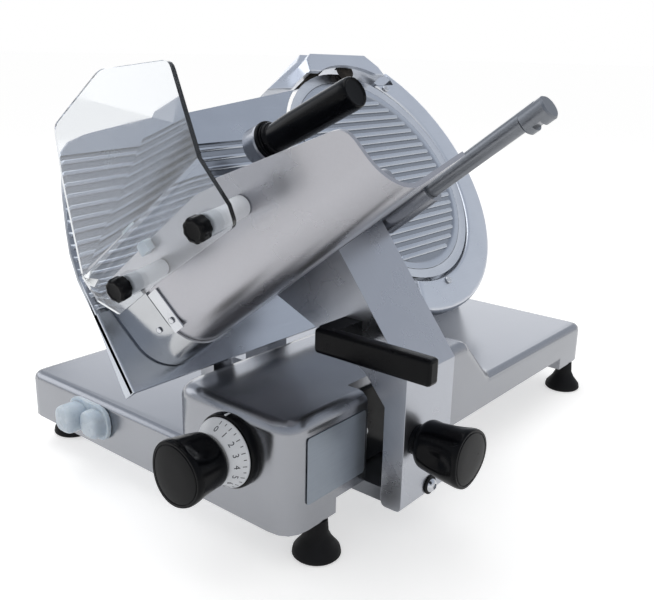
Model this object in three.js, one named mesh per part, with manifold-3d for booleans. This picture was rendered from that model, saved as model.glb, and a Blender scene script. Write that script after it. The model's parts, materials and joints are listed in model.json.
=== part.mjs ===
import * as THREE from 'three';
import { mergeVertices } from 'three/addons/utils/BufferGeometryUtils.js';
import Module from 'manifold-3d';

// Gravity feed slicer: an inclined disc blade in a ring guard, a ribbed gauge plate that an index
// knob moves, and a hand pushed carriage with a tilted tray, a clear hand guard and a pusher.
// Millimetres. +X is the operator's right, +Y points away from the operator and is the way the
// carriage travels, +Z is up. The blade frame has u along +Y, v up along the blade's face and
// w along the blade's axis, towards the tray.

// General
const clearance = 0.3;
const overrun = 4;
const bite = 1; // how far joined solids run into each other
const roundSides = 32;
const smallSides = 16;
const arcSides = 96;
const hexSides = 6;
const cornerSteps = 4;
const bevelSteps = 3;
const weld = 1e-4;
const cornerShare = 1.35;
const wholeTurn = Math.PI * 2;

// Base casting
const base = {
  width: 381, depth: 579, foot: 31, deck: 80, lift: 15, boss: 61, wall: 7, edge: 8, inner: 5,
  corner: 12, frontCorner: 18,
};
const block = { width: 145, depth: 205, top: 132, edge: 11, corner: 22, rearCorner: 16 };
const ridge = { width: 58, flatEnd: 278, slopeEnd: 332, blend: 26 };
const notch = {
  from: 103, to: 198, deep: 24, plate: 3, screw: 4.5, head: 3, screwIn: 22, screwZ: 80,
};
const cover = { thick: 2, seat: 4, lift: 17 };
const rest = {
  disc: 22, rim: 7, waist: 10.5, flare: 13, insetX: 8, frontY: 45, rearY: 27, below: 5, stud: 4, round: 2,
};

// Blade and its drive
const tilt = THREE.MathUtils.degToRad(37.7);
const blade = {
  x: -221.5, y: 422.4, z: 270.3, radius: 150, bore: 34, thick: 5, dish: 9, bevel: 7, flat: 12, edge: 0.6, wall: 3,
};
const ring = {
  gap: 3, outer: 196, front: 1, back: 17, edge: 7, round: 5, steps: 3,
  from: THREE.MathUtils.degToRad(-108), to: THREE.MathUtils.degToRad(60),
  webFrom: THREE.MathUtils.degToRad(-88), webTo: THREE.MathUtils.degToRad(56),
};
const hub = { flange: 44, plate: 4, pulley: 48, belt: 15, axle: 9, lip: 1.5 };
const housing = { wall: 5, small: 38, large: 76, round: 3, motorAlong: 86, motorUp: -30 };
const motor = {
  radius: 47, length: 104, fin: 4, fins: 6, shaft: 6, pulley: 16, cap: 12, lip: 3, lipThick: 2, endPlay: 1,
};
const belt = { thick: 3, width: 12 };
const column = { from: 395, to: 545, footFront: -168, footBack: -338, edge: 12 };

// Blade cover and its tie
const disc = { radius: 140, rim: 132, rib: 1.6, pitch: 11.5, share: 0.46 };
const tie = { rod: 5, head: 22, length: 26, lobes: 6, lobe: 3, rodEnd: 8 };

// Gauge plate and its index
const gauge = {
  left: -476, right: -62, bottom: -158, topRight: 128, thick: 6,
  leftEdge: [[-476, -50], [-472, -25], [-465, -2], [-453, 32], [-442, 58]], topCorner: [-433, 82],
  topEdge: [[-392, 88], [-282, 103]], flangeTop: -48,
  rib: 1.6, pitch: 11.5, share: 0.42, ribLow: -84, ribTop: 66, gap: 4, flange: 15, flangeWall: 5, travel: 15,
  cornerUp: 20,
};
const guide = {
  radius: 9, along: -235, up: -92, length: 92, boss: 17, collar: 22, collarThick: 6, bush: 30, play: 3,
  legShift: 4, legSlim: 2,
};
const follower = {
  y0: 58, y1: 82, padHigh: 44, padThick: 8, leg: 18, legX: -168, bar: 9, barZ: 62, roller: 7, play: 1,
  padLow: 14, legIn: 4, legTop: 6, heel: 24,
  slot: { x0: -185, x1: -147, y0: 54, y1: 88 },
};
const index = {
  x: -66, z: 94, shaft: 6, camFrom: 60, camThick: 8, camLow: 14, turn: THREE.MathUtils.degToRad(300),
  ring: 33, ringDeep: 8, ringWall: 3.5, dial: 29, dialLip: 31, lipThick: 2, dialFront: 26, dialDeep: 13,
  knob: 30, knobLong: 50,
  lobes: 3, lobe: 1.6, socket: 14, socketPlay: 1, shaftPast: 3, ringEdge: 1.5, pointer: 1.2,
  lead: 0.35,
};

// Switch
const button = {
  x: -268, z: 60, pitch: 29, radius: 13.8, length: 14, proud: 9, plate: 18, plateDeep: 5, travel: 3, edge: 3,
};

// Sharpener
const cap = {
  left: -132, right: 124, foot: 130, shoulder: 150, top: 180, topLeft: -40, topRight: 86,
  hoodLeft: -68, hoodRight: 82, hoodTop: 166, hoodFoot: 132, hoodCornerLeft: -50, hoodCornerRight: 60,
  front: 22, back: 44, wall: 5, slot: 157, lip: 148, edge: 2, cheek: 12, cheekDrop: 10, topDrop: 4,
  shoulderIn: 8, footUp: 8, footIn: 20, hoodUp: 8, hoodIn: 6, hoodDrop: 8, hoodTopDrop: 2, hoodRightIn: 4,
  hoodRightUp: 14,
};
const stone = {
  radius: 14, frontRadius: 12, thick: 8, axle: 4, along: 24, up: 160, frontUp: 150, gap: 2, rearGap: 4,
  room: 1.5, edge: 1,
};
const pin = { radius: 3.5, length: 18, eye: 7, wire: 1.8, along: 16, proud: 3 };

// Carriage
const slide = { radius: 8, x: -44, z: 58, bossLong: 16, boss: 14, bush: 12.5, ledgeThick: 14, ledgeTop: 44 };
const arm = {
  front: 104, width: 77, face: 135, thick: 11, outerX: 39, footThick: 22, footBottom: 26,
  web: 10, corner: 6, top: -90,
  webEdge: [[25, 113], [-5.5, 149], [-57.7, 176], [-115, 200], [-131, 220]],
};
const lock = { y: 124, z: 92, neck: 14, neckLong: 8, radius: 28, length: 48, lobes: 3, lobe: 1.6, stud: 5 };
const bolt = { y: 150, z: 36, radius: 6.5, head: 6, washer: 9, washerThick: 1.6, socket: 3 };
const grip = { left: -29, right: 87, y: 68, z: 184.5, high: 22.5, deep: 14, leg: 19, edge: 3 };

// Tray, in the blade frame turned about the blade's axis by its lean. It hangs on the arm, so its
// place along the travel is measured from the arm
const lean = THREE.MathUtils.degToRad(13);
const tray = {
  fromArm: -125.3, cornerUp: -153.3, near: 4, far: 297, wall: 3.5, bend: 34, floor: 205,
  cutLong: 105, cutFloor: 80, topNear: 101, topFar: 57, shoulder: 160, shoulderTop: 97, round: 14,
};
const nose = {
  near: 2, far: 50, thick: 2, top: 86, tail: 52, strip: 13, stripThick: 1.6, stripLow: 22, stripTop: 60,
  rivet: 3, rivetHead: 1.6, rivetAt: 32,
};
const clip = { near: 80, long: 12, high: 12, deep: 7, corner: 3 };

// Hand guard
const standoff = { radius: 8, length: 38, upper: 190, lower: 86, upperHigh: 63, lowerHigh: 70, edge: 0.8 };
const knobSmall = { radius: 12, length: 14, lobes: 7, lobe: 1.2 };
const guard = {
  thick: 4, fold: 97, foldBack: THREE.MathUtils.degToRad(24), foldNear: 49, foldFar: 221,
  lower: [[59, 57, 5], [109, 56], [212, 49, 8], [218, 62], [221, 97], [49, 97], [47, 76]],
  upper: [[49, 0], [221, 0], [224, 74, 12], [147, 123, 30], [67, 127, 8], [58, 86], [53, 40]],
};

// Pusher
const rod = {
  radius: 8.5, fromArm: 92.4, up: -107.5, near: 104, far: 313, block: 26, blockRadius: 11, drop: 3, cap: 9,
  notch: 8,
  bracket: 14, bracketRadius: 11.5, bracketFoot: 56, bracketThick: 8, edge: 1.5,
};
const pusher = {
  slider: 62, sliderNear: 127, sliderWall: 4, armHalf: 12, near: 12, thick: 5, left: 44, low: 8,
  high: 100, far: 236, handle: 16.5, handleLong: 126, handleEdge: 4, flange: 22, flangeThick: 5,
  top: 36, out: 44, seat: 20, droop: THREE.MathUtils.degToRad(11), stroke: 106, teeth: 7, tooth: 5,
  toothBase: 4, seatEdge: 2, flangeEdge: 1.5,
  crank: [[-96, 127], [-96, 152], [-62, 152, 14], [-36, 56, 20], [-20, 34, 10], [45, 34], [45, 22, 6],
    [-10, 17.6], [-76, 17.6], [-76, 50, 14], [-82, 110, 14], [-90, 127]],
};
const plate = { wide: 78, high: 61, thick: 0.8, from: 21, low: 56, round: 3 };

const ringScrews = [[99, 123], [10, -160]];
const ringScrew = { radius: 5, high: 3, slot: 1.4, deep: 1.2 };

// Materials
function paint(color, roughness, metalness, opacity = 1) {
  const look = { color, roughness, metalness, opacity, transparent: opacity < 1 };
  return new THREE.MeshStandardMaterial(look);
}
const castAluminium = paint(0xb3b6be, 0.38, 0.85);
const satinAluminium = paint(0xa9a9ae, 0.32, 0.9);
const darkAluminium = paint(0x8f9299, 0.4, 0.85);
const bladeSteel = paint(0xcfd2d8, 0.18, 1);
const brightSteel = paint(0xc4c6cb, 0.22, 1);
const greySteel = paint(0x6f7278, 0.45, 0.9);
const blackPlastic = paint(0x15161a, 0.42, 0);
const blackRubber = paint(0x1a1a1c, 0.7, 0);
const whiteNylon = paint(0xeceef2, 0.4, 0);
const paleCap = paint(0xc3d0dc, 0.3, 0, 0.7);
const clearPlastic = paint(0xdde3e8, 0.08, 0, 0.3);
const stoneGrey = paint(0x8b7d6d, 0.9, 0);
const motorGrey = paint(0x55585e, 0.5, 0.3);

// Solids: closed geometries, joined and cut with the solid library
const wasm = await Module();
wasm.setup();

function closed(geometry) {
  geometry.deleteAttribute('normal');
  geometry.deleteAttribute('uv');
  const merged = mergeVertices(geometry, weld);
  const index = merged.index.array;
  const kept = [];
  for (let i = 0; i < index.length; i += 3) {
    const [a, b, c] = [index[i], index[i + 1], index[i + 2]];
    if (a !== b && b !== c && c !== a) kept.push(a, b, c);
  }
  if (volume(merged.attributes.position.array, kept) < 0) kept.reverse();
  merged.setIndex(kept);
  return merged;
}

function volume(position, index) {
  const [a, b, c] = [new THREE.Vector3(), new THREE.Vector3(), new THREE.Vector3()];
  let total = 0;
  for (let i = 0; i < index.length; i += 3) {
    a.fromArray(position, index[i] * 3);
    b.fromArray(position, index[i + 1] * 3);
    c.fromArray(position, index[i + 2] * 3);
    total += a.dot(b.cross(c));
  }
  return total;
}

function toSolid(geometry) {
  const vertProperties = Float32Array.from(geometry.attributes.position.array);
  const raw = { numProp: 3, vertProperties, triVerts: new Uint32Array(geometry.index.array) };
  return new wasm.Manifold(new wasm.Mesh(raw));
}

function toGeometry(solid) {
  const raw = solid.getMesh();
  const geometry = new THREE.BufferGeometry();
  const position = new Float32Array(raw.vertProperties);
  geometry.setAttribute('position', new THREE.BufferAttribute(position, 3));
  geometry.setIndex(new THREE.BufferAttribute(new Uint32Array(raw.triVerts), 1));
  return geometry;
}

function join(...parts) {
  return toGeometry(parts.map(toSolid).reduce((sum, next) => sum.add(next)));
}

function cut(body, ...tools) {
  return toGeometry(tools.reduce((left, tool) => left.subtract(toSolid(tool)), toSolid(body)));
}

function meet(first, second) {
  return toGeometry(toSolid(first).intersect(toSolid(second)));
}

// Outlines: points are [x, y, corner radius]
function rounded(points) {
  const out = [];
  points.forEach(([x, y, radius = 0], i) => {
    const here = new THREE.Vector2(x, y);
    if (!radius) {
      out.push(here);
      return;
    }
    const before = points[(i + points.length - 1) % points.length];
    const after = points[(i + 1) % points.length];
    const back = new THREE.Vector2(before[0], before[1]).sub(here);
    const ahead = new THREE.Vector2(after[0], after[1]).sub(here);
    const half = Math.abs(back.angleTo(ahead)) / 2;
    const reach = Math.min(radius / Math.tan(half), back.length() * 0.49, ahead.length() * 0.49);
    const start = here.clone().addScaledVector(back.normalize(), reach);
    const end = here.clone().addScaledVector(ahead.normalize(), reach);
    const curve = new THREE.QuadraticBezierCurve(start, here, end);
    out.push(...curve.getPoints(cornerSteps));
  });
  return new THREE.Shape(out);
}

function slab(shape, from, to, edge = 0, steps = 2) {
  const geometry = new THREE.ExtrudeGeometry(shape, {
    depth: to - from - edge * 2, bevelEnabled: edge > 0, bevelThickness: edge, bevelSize: edge,
    bevelOffset: -edge, bevelSegments: steps, curveSegments: roundSides / 4,
  });
  return closed(geometry.translate(0, 0, from + edge));
}

function box(x0, x1, y0, y1, z0, z1) {
  const geometry = new THREE.BoxGeometry(x1 - x0, y1 - y0, z1 - z0);
  return closed(geometry).translate((x0 + x1) / 2, (y0 + y1) / 2, (z0 + z1) / 2);
}

// A profile of [radius, height] points, revolved about Z
function turned(profile, sides = roundSides) {
  const points = profile.map(([radius, height]) => new THREE.Vector2(radius, height));
  if (profile[0][0] > 0) points.push(points[0].clone());
  const geometry = new THREE.LatheGeometry(points, sides);
  return closed(geometry).rotateX(Math.PI / 2);
}

function drum(radius, from, to, edge = 0, sides = roundSides) {
  const profile = [[0, from], [radius - edge, from]];
  if (edge) profile.push([radius, from + edge], [radius, to - edge]);
  else profile.push([radius, to]);
  if (edge) profile.push([radius - edge, to]);
  return turned([...profile, [0, to]], sides);
}

function tubeRing(inner, outer, from, to, sides = roundSides) {
  return turned([[inner, from], [outer, from], [outer, to], [inner, to]], sides);
}

function circlePoints(radius, x = 0, y = 0, sides = roundSides) {
  const step = wholeTurn / sides;
  const at = (i) => new THREE.Vector2(x + radius * Math.cos(i * step), y + radius * Math.sin(i * step));
  return Array.from({ length: sides }, (unused, i) => at(i));
}

// A cone shaped grip whose rim swells and sinks between its lobes
const barrelShares = [[0.6, 0], [0.76, 0.1], [0.84, 0.3], [0.94, 0.65], [1, 0.9], [0.95, 1]];
const buttonShares = [[0.85, 0], [1, 0.12], [1, 0.85], [0.9, 1]];
function lobedKnob(shares, radius, depth, lobes, length) {
  const rings = shares.map(([wide, far]) => [wide * radius, far * length]);
  const perLobe = Math.max(roundSides / lobes, 6);
  const count = lobes * Math.ceil(perLobe);
  const position = [];
  const index = [];
  rings.forEach(([size, height], k) => {
    for (let i = 0; i < count; i += 1) {
      const angle = (i / count) * wholeTurn;
      const swell = (1 - Math.cos(angle * lobes)) / 2;
      const lowered = k === 0 ? size : size - depth * (1 - swell);
      position.push(lowered * Math.cos(angle), lowered * Math.sin(angle), height);
    }
  });
  position.push(0, 0, 0, 0, 0, length);
  const foot = rings.length * count;
  const top = foot + 1;
  for (let i = 0; i < count; i += 1) {
    const next = (i + 1) % count;
    for (let k = 0; k < rings.length - 1; k += 1) {
      const [a, b] = [k * count + i, k * count + next];
      const [c, d] = [a + count, b + count];
      index.push(a, b, d, a, d, c);
    }
    const last = (rings.length - 1) * count;
    index.push(foot, next, i, top, last + i, last + next);
  }
  const geometry = new THREE.BufferGeometry();
  geometry.setAttribute('position', new THREE.BufferAttribute(new Float32Array(position), 3));
  geometry.setIndex(index);
  return geometry;
}

// Frames
const unitX = new THREE.Vector3(1, 0, 0);
const unitY = new THREE.Vector3(0, 1, 0);
const unitZ = new THREE.Vector3(0, 0, 1);
const acrossX = new THREE.Matrix4().makeBasis(unitY, unitZ, unitX);
const acrossY = new THREE.Matrix4().makeBasis(unitX, unitZ, unitY.clone().negate());
const bladeAxis = new THREE.Vector3(Math.cos(tilt), 0, Math.sin(tilt));
const bladeUp = new THREE.Vector3(-Math.sin(tilt), 0, Math.cos(tilt));
const bladeFrame = new THREE.Matrix4().makeBasis(unitY, bladeUp, bladeAxis);
bladeFrame.setPosition(blade.x, blade.y, blade.z);
const armAlong = arm.front - blade.y;
const trayFrame = new THREE.Matrix4().makeRotationZ(lean);
trayFrame.setPosition(armAlong + tray.fromArm, tray.cornerUp, 0);
const rodAlong = armAlong + rod.fromArm;

function at(geometry, x, y, z) {
  return geometry.clone().translate(x, y, z);
}

function turnedBy(geometry, matrix) {
  return geometry.clone().applyMatrix4(matrix);
}

// A point of the blade frame as [X, Z]
function inWorld(v, w) {
  const p = new THREE.Vector3(0, v, w).applyMatrix4(bladeFrame);
  return [p.x, p.z];
}

const turnY = new THREE.Matrix4().makeRotationX(-Math.PI / 2);
const turnX = new THREE.Matrix4().makeRotationY(Math.PI / 2);
const towardFront = new THREE.Matrix4().makeRotationX(Math.PI / 2);

// A profile in (Y, Z) swept from one X to another, and one in (X, Z) swept from one Y to another
function sweptX(points, x0, x1, edge = 0, steps = 2) {
  return turnedBy(slab(rounded(points), x0, x1, edge, steps), acrossX);
}

function sweptY(points, y0, y1, edge = 0, steps = 2) {
  return turnedBy(slab(rounded(points), -y1, -y0, edge, steps), acrossY);
}

const machine = new THREE.Group();
const inclined = new THREE.Group();
const trough = new THREE.Group();
inclined.applyMatrix4(bladeFrame);
trough.applyMatrix4(trayFrame);
machine.add(inclined);
inclined.add(trough);

function piece(name, geometry, material, parent = machine) {
  const mesh = new THREE.Mesh(geometry, material);
  mesh.name = name;
  parent.add(mesh);
  return mesh;
}

// Base casting
const left = -base.width;
const low = base.foot - base.edge - overrun;
const deckUnder = base.deck - base.inner;

function planBody(x0, far, inset, top, edge, corners) {
  const [a, b, c, d] = corners.map((radius) => (radius - inset / 2) * cornerShare);
  const outline = [[x0 + inset, inset, a], [-inset, inset, b], [-inset, far - inset, c],
    [x0 + inset, far - inset, d]];
  return slab(rounded(outline), low - block.edge, top, edge, bevelSteps);
}

function deckBody(inset, top) {
  return planBody(left, base.depth, inset, top, base.edge,
    [base.corner, base.frontCorner, base.corner, base.corner]);
}

function blockBody(inset, top) {
  return planBody(-block.width, block.depth, inset, top, block.edge,
    [block.corner, base.frontCorner, block.rearCorner, block.rearCorner]);
}

function ridgeBody(inset, top) {
  const start = block.depth / 2;
  const foot = base.deck - inset;
  const profile = [
    [start, low], [ridge.slopeEnd + ridge.blend, low], [ridge.slopeEnd + ridge.blend, foot],
    [ridge.slopeEnd - inset, foot, ridge.blend], [ridge.flatEnd - inset / 2, top, ridge.blend / 2],
    [start, top],
  ];
  return sweptX(profile, -ridge.width + inset, -inset, block.edge, bevelSteps);
}

function notchBox(grow) {
  return box(-notch.deep - grow, overrun, notch.from - grow, notch.to + grow,
    base.foot + base.lift - overrun, block.top + overrun);
}

const pad = base.foot + rest.stud * 3;

function cornerPads() {
  const side = base.boss - base.wall;
  const spots = [[-base.wall - side, base.wall], [left + base.wall, base.wall],
    [-base.wall - side, base.depth - base.wall - side], [left + base.wall, base.depth - base.wall - side]];
  return spots.map(([x, y]) => box(x, x + side, y, y + side, base.foot, pad));
}

const restSpots = [[-rest.insetX, rest.frontY], [left + rest.insetX, rest.frontY],
  [-rest.insetX, base.depth - rest.rearY], [left + rest.insetX, base.depth - rest.rearY]];

function baseCasting() {
  const outer = join(deckBody(0, base.deck), blockBody(0, block.top), ridgeBody(0, block.top));
  const hollow = join(deckBody(base.wall, deckUnder), blockBody(base.wall, block.top - base.inner),
    ridgeBody(base.wall, block.top - base.inner));
  const shell = cut(outer, cut(hollow, notchBox(base.wall)), notchBox(0));
  const boss = tubeRing(slide.radius + clearance, slide.boss, 0, slide.bossLong);
  const bossAt = (y) => at(turnedBy(boss, turnY), slide.x, y, slide.z);
  const mounts = join(...cornerPads(), bossAt(base.wall - clearance),
    bossAt(base.depth - base.wall - slide.bossLong + clearance));
  const floor = low - block.edge - overrun;
  const below = box(left - overrun, overrun, -overrun, base.depth + overrun, floor, base.foot);
  const skirt = base.foot + base.lift;
  const raised = box(left - overrun, overrun, base.boss, base.depth - base.boss, floor, skirt);
  const studHole = drum(rest.stud + clearance, low, pad + overrun, 0, smallSides);
  const studs = restSpots.map(([x, y]) => at(studHole, x, y, 0));
  const shaft = drum(index.shaft + clearance, -overrun, base.wall + overrun, 0, smallSides);
  const slot = follower.slot;
  const rodBore = drum(slide.radius + clearance, base.wall, base.depth - base.wall);
  return cut(join(shell, mounts), below, raised, ...studs,
    at(turnedBy(rodBore, turnY), slide.x, 0, slide.z),
    at(turnedBy(shaft, turnY), index.x, 0, index.z),
    box(slot.x0, slot.x1, slot.y0, slot.y1, deckUnder - overrun, base.deck + overrun));
}
piece('base_casting', baseCasting(), castAluminium);

const coverLow = base.foot + cover.lift;
const coverRight = slide.x - slide.bush - cover.seat * 4;
const sheetRound = base.edge * cornerShare;
const coverSheet = [[left + base.wall + clearance, base.wall + clearance, sheetRound],
  [coverRight, base.wall + clearance, sheetRound], [coverRight, base.depth - base.wall - clearance, sheetRound],
  [left + base.wall + clearance, base.depth - base.wall - clearance, sheetRound]];
piece('base_cover', slab(rounded(coverSheet), coverLow, coverLow + cover.thick), brightSteel);

// Side notch liner and its screw
const liner = box(-notch.deep + clearance, -notch.deep + clearance + notch.plate,
  notch.from + clearance, notch.to - clearance, base.foot + base.lift + clearance, block.top - block.edge);
const screwAt = [-notch.deep + clearance * 2 + notch.plate, notch.from + notch.screwIn, notch.screwZ];
piece('notch_liner', liner, blackPlastic);
const screwHead = drum(notch.screw, 0, notch.head, notch.head / 4, smallSides);
piece('notch_screw', at(turnedBy(screwHead, turnX), ...screwAt), brightSteel);

// Feet: a flared rubber foot with a threaded stud
function foot() {
  const top = base.foot - clearance;
  const rim = rest.rim - rest.below;
  const flareAt = rim + (top - rim) * 0.3;
  const waistAt = rim + (top - rim) * 0.55;
  const soft = rest.round / 2;
  return turned([[0, -rest.below], [rest.disc - rest.round, -rest.below],
    [rest.disc, rest.round - rest.below], [rest.disc - soft, rim],
    [rest.flare + soft, flareAt], [rest.waist, waistAt], [rest.waist - soft, top], [rest.stud, top],
    [rest.stud, pad - clearance], [0, pad - clearance]], roundSides);
}
['front_right', 'front_left', 'rear_right', 'rear_left'].forEach((place, i) => {
  piece(`foot_${place}`, at(foot(), ...restSpots[i], 0), blackRubber);
});

// Blade frame: the disc blade, a dished ring of steel with a ground edge
function bladeRing() {
  const inner = blade.radius - blade.flat;
  return turned([
    [blade.bore, -blade.thick - blade.dish], [inner + blade.wall, -blade.thick - blade.dish],
    [blade.radius - blade.bevel, -blade.thick], [blade.radius, -blade.edge], [blade.radius, 0],
    [blade.radius - blade.bevel, -blade.edge * 2], [inner, -blade.edge * 2], [inner, -blade.dish],
    [blade.bore, -blade.dish]], roundSides * 2);
}
piece('blade', bladeRing(), bladeSteel, inclined);

const bladeBack = -blade.thick - blade.dish;
const hubFront = bladeBack - clearance;
const pulleyBack = hubFront - hub.plate * 2 - hub.belt;
const beltFrom = pulleyBack + hub.lip;
const beltTo = beltFrom + belt.width;
function hubPulley() {
  const lip = hub.pulley + hub.plate;
  return turned([[hub.axle + clearance, pulleyBack], [lip, pulleyBack], [lip, beltFrom - clearance],
    [hub.pulley, beltFrom - clearance], [hub.pulley, beltTo + clearance], [lip, beltTo + clearance],
    [lip, beltTo + clearance + hub.lip], [hub.flange, beltTo + hub.plate], [hub.flange, hubFront],
    [hub.axle + clearance, hubFront]], roundSides);
}
piece('blade_hub', hubPulley(), greySteel, inclined);

// The hull of two circles, and the belt that runs round it
function hullPoints(big, small, du, dv, grow = 0) {
  const [r1, r2] = [big + grow, small + grow];
  const span = Math.hypot(du, dv);
  const heading = Math.atan2(dv, du);
  const spread = Math.acos((r1 - r2) / span);
  const points = [];
  const steps = roundSides / 2;
  for (let i = 0; i <= steps; i += 1) {
    const angle = heading + spread + ((wholeTurn - spread * 2) * i) / steps;
    points.push(new THREE.Vector2(r1 * Math.cos(angle), r1 * Math.sin(angle)));
  }
  for (let i = 0; i <= steps; i += 1) {
    const angle = heading - spread + (spread * 2 * i) / steps;
    points.push(new THREE.Vector2(du + r2 * Math.cos(angle), dv + r2 * Math.sin(angle)));
  }
  return points;
}
const beltRun = [hub.pulley, motor.pulley, housing.motorAlong, housing.motorUp];
const beltOuter = new THREE.Shape(hullPoints(...beltRun, belt.thick + clearance));
beltOuter.holes.push(new THREE.Path(hullPoints(...beltRun, clearance * 2)));
piece('drive_belt', slab(beltOuter, beltFrom, beltTo), blackRubber, inclined);

// Head casting: ring guard, belt housing and the column down to the deck
const housingBack = pulleyBack - clearance - housing.wall * 2;
const cupFloor = pulleyBack - housing.wall;
const ringBack = -ring.back;
const webBack = ringBack - housing.wall;

function sector(inner, outer, a, b) {
  const steps = Math.round((arcSides * Math.abs(b - a)) / wholeTurn);
  const point = (radius, i) => {
    const angle = a + ((b - a) * i) / steps;
    return new THREE.Vector2(radius * Math.cos(angle), radius * Math.sin(angle));
  };
  const count = Array.from({ length: steps + 1 }, (unused, i) => i);
  return new THREE.Shape([...count.map((i) => point(outer, i)),
    ...count.reverse().map((i) => point(inner, i))]);
}

function headCasting() {
  const inner = blade.radius + ring.gap;
  const guardRing = slab(sector(inner, ring.outer, ring.from, ring.to), ringBack, ring.front, ring.round,
    ring.steps);
  const web = slab(sector(housing.large - housing.wall, ring.outer - ring.edge, ring.webFrom, ring.webTo),
    webBack, ringBack + clearance);
  const hull = [housing.large, housing.small, housing.motorAlong, housing.motorUp];
  const innerHull = hullPoints(...hull, -housing.wall);
  const cup = slab(new THREE.Shape(hullPoints(...hull)), housingBack, ringBack, housing.round);
  const well = slab(new THREE.Shape(innerHull), cupFloor, overrun);
  const seat = base.deck + clearance;
  const [legFront, legBack] = [webBack + overrun, housingBack + overrun];
  const profile = [[column.footFront, seat], inWorld(-blade.radius, legFront),
    inWorld(-housing.large / 2, legFront), inWorld(-housing.large / 2, legBack),
    inWorld(-housing.large * 1.15, legBack), [column.footBack, seat, column.edge]];
  const leg = sweptY(profile, column.from, column.to, column.edge / 2);
  const intoBlade = new THREE.Matrix4().copy(bladeFrame).invert();
  const trimmed = meet(leg, box(column.footBack - overrun, base.width, 0, base.depth, seat, blade.z));
  const body = join(guardRing, web, cup, turnedBy(trimmed, intoBlade));
  const tieHole = drum(tie.rod + clearance, housingBack - overrun, 0, 0, smallSides);
  const shaftHole = at(drum(motor.shaft + clearance, housingBack - overrun, 0, 0, smallSides),
    housing.motorAlong, housing.motorUp, 0);
  const capRoom = box(cap.left, cap.right + clearance, cap.foot - clearance, cap.top, -cap.back - overrun,
    ring.front + overrun);
  return cut(body, well, tieHole, shaftHole, capRoom);
}
piece('head_casting', headCasting(), castAluminium, inclined);

// Fixed hollow axle on the housing's floor
piece('hub_axle', tubeRing(tie.rod + clearance, hub.axle, cupFloor + clearance, bladeBack + blade.thick,
  smallSides), brightSteel, inclined);

// Motor with cooling fins, its shaft and pulley
function finnedMotor() {
  const front = housingBack - clearance;
  const pitch = (motor.length - motor.cap * 2) / motor.fins;
  const profile = [[motor.shaft + clearance, front], [motor.radius - motor.fin, front],
    [motor.radius - motor.fin, front - motor.cap]];
  for (let i = 0; i < motor.fins; i += 1) {
    const at0 = front - motor.cap - pitch * i;
    profile.push([motor.radius, at0 - pitch * 0.2], [motor.radius, at0 - pitch * 0.6],
      [motor.radius - motor.fin, at0 - pitch * 0.7], [motor.radius - motor.fin, at0 - pitch * 0.95]);
  }
  const back = front - motor.length;
  profile.push([motor.radius - motor.fin, back + motor.fin], [motor.radius - motor.cap, back], [0, back],
    [0, front - motor.cap], [motor.shaft + clearance, front - motor.cap]);
  return at(turned(profile), housing.motorAlong, housing.motorUp, 0);
}
piece('motor', finnedMotor(), motorGrey, inclined);
function motorPulley() {
  const lip = motor.pulley + motor.lip;
  const back = housingBack - motor.cap + motor.endPlay;
  const front = beltTo + motor.lipThick;
  return at(turned([[0, back], [motor.shaft, back], [motor.shaft, pulleyBack], [lip, pulleyBack],
    [lip, beltFrom - clearance], [motor.pulley, beltFrom - clearance], [motor.pulley, beltTo + clearance],
    [lip, beltTo + clearance], [lip, front], [0, front]], smallSides), housing.motorAlong, housing.motorUp, 0);
}
piece('motor_pulley', motorPulley(), greySteel, inclined);

// Ribbed blade cover, held by a tie rod that ends in a knob behind the housing
function ribWave(bottom, top, back, front, rib, pitch, share) {
  const shape = [[bottom, back], [bottom, front - rib]];
  const count = Math.floor((top - bottom) / pitch);
  const start = (bottom + top - count * pitch) / 2;
  const slant = rib * 0.6;
  for (let i = 0; i < count; i += 1) {
    const from = start + i * pitch + (pitch * (1 - share)) / 2;
    const to = from + pitch * share;
    shape.push([from - slant, front - rib], [from, front], [to, front], [to + slant, front - rib]);
  }
  shape.push([top, front - rib], [top, back]);
  return shape;
}
function ribbedSheet(points, from, to) {
  const shape = new THREE.Shape(points.map(([v, w]) => new THREE.Vector2(v, w)));
  return turnedBy(slab(shape, from, to), acrossX);
}
const coverBack = -blade.dish + clearance;
const coverRadius = blade.radius - blade.flat - clearance * 3;
function coverDisc() {
  const front = -clearance;
  const flat = drum(coverRadius, coverBack, front - disc.rib, 0, roundSides * 2);
  const wave = ribWave(-disc.rim - overrun, disc.rim + overrun, front - disc.rib * 2, front, disc.rib,
    disc.pitch, disc.share);
  const ribs = ribbedSheet(wave, -disc.radius, disc.radius);
  const round = drum(disc.rim, front - disc.rib * 3, front + overrun, 0, roundSides * 2);
  return join(flat, meet(ribs, round));
}
piece('blade_cover', coverDisc(), satinAluminium, inclined);

const tieBack = housingBack - tie.length;
function tieKnob() {
  const head = turnedBy(lobedKnob(barrelShares, tie.head, tie.lobe, tie.lobes, tie.length - clearance),
    new THREE.Matrix4().makeRotationY(Math.PI));
  const stem = drum(tie.rod, tieBack + tie.rodEnd, coverBack - clearance, 0, smallSides);
  return join(at(head, 0, 0, housingBack - clearance), stem);
}
piece('cover_tie_knob', tieKnob(), blackPlastic, inclined);

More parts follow.
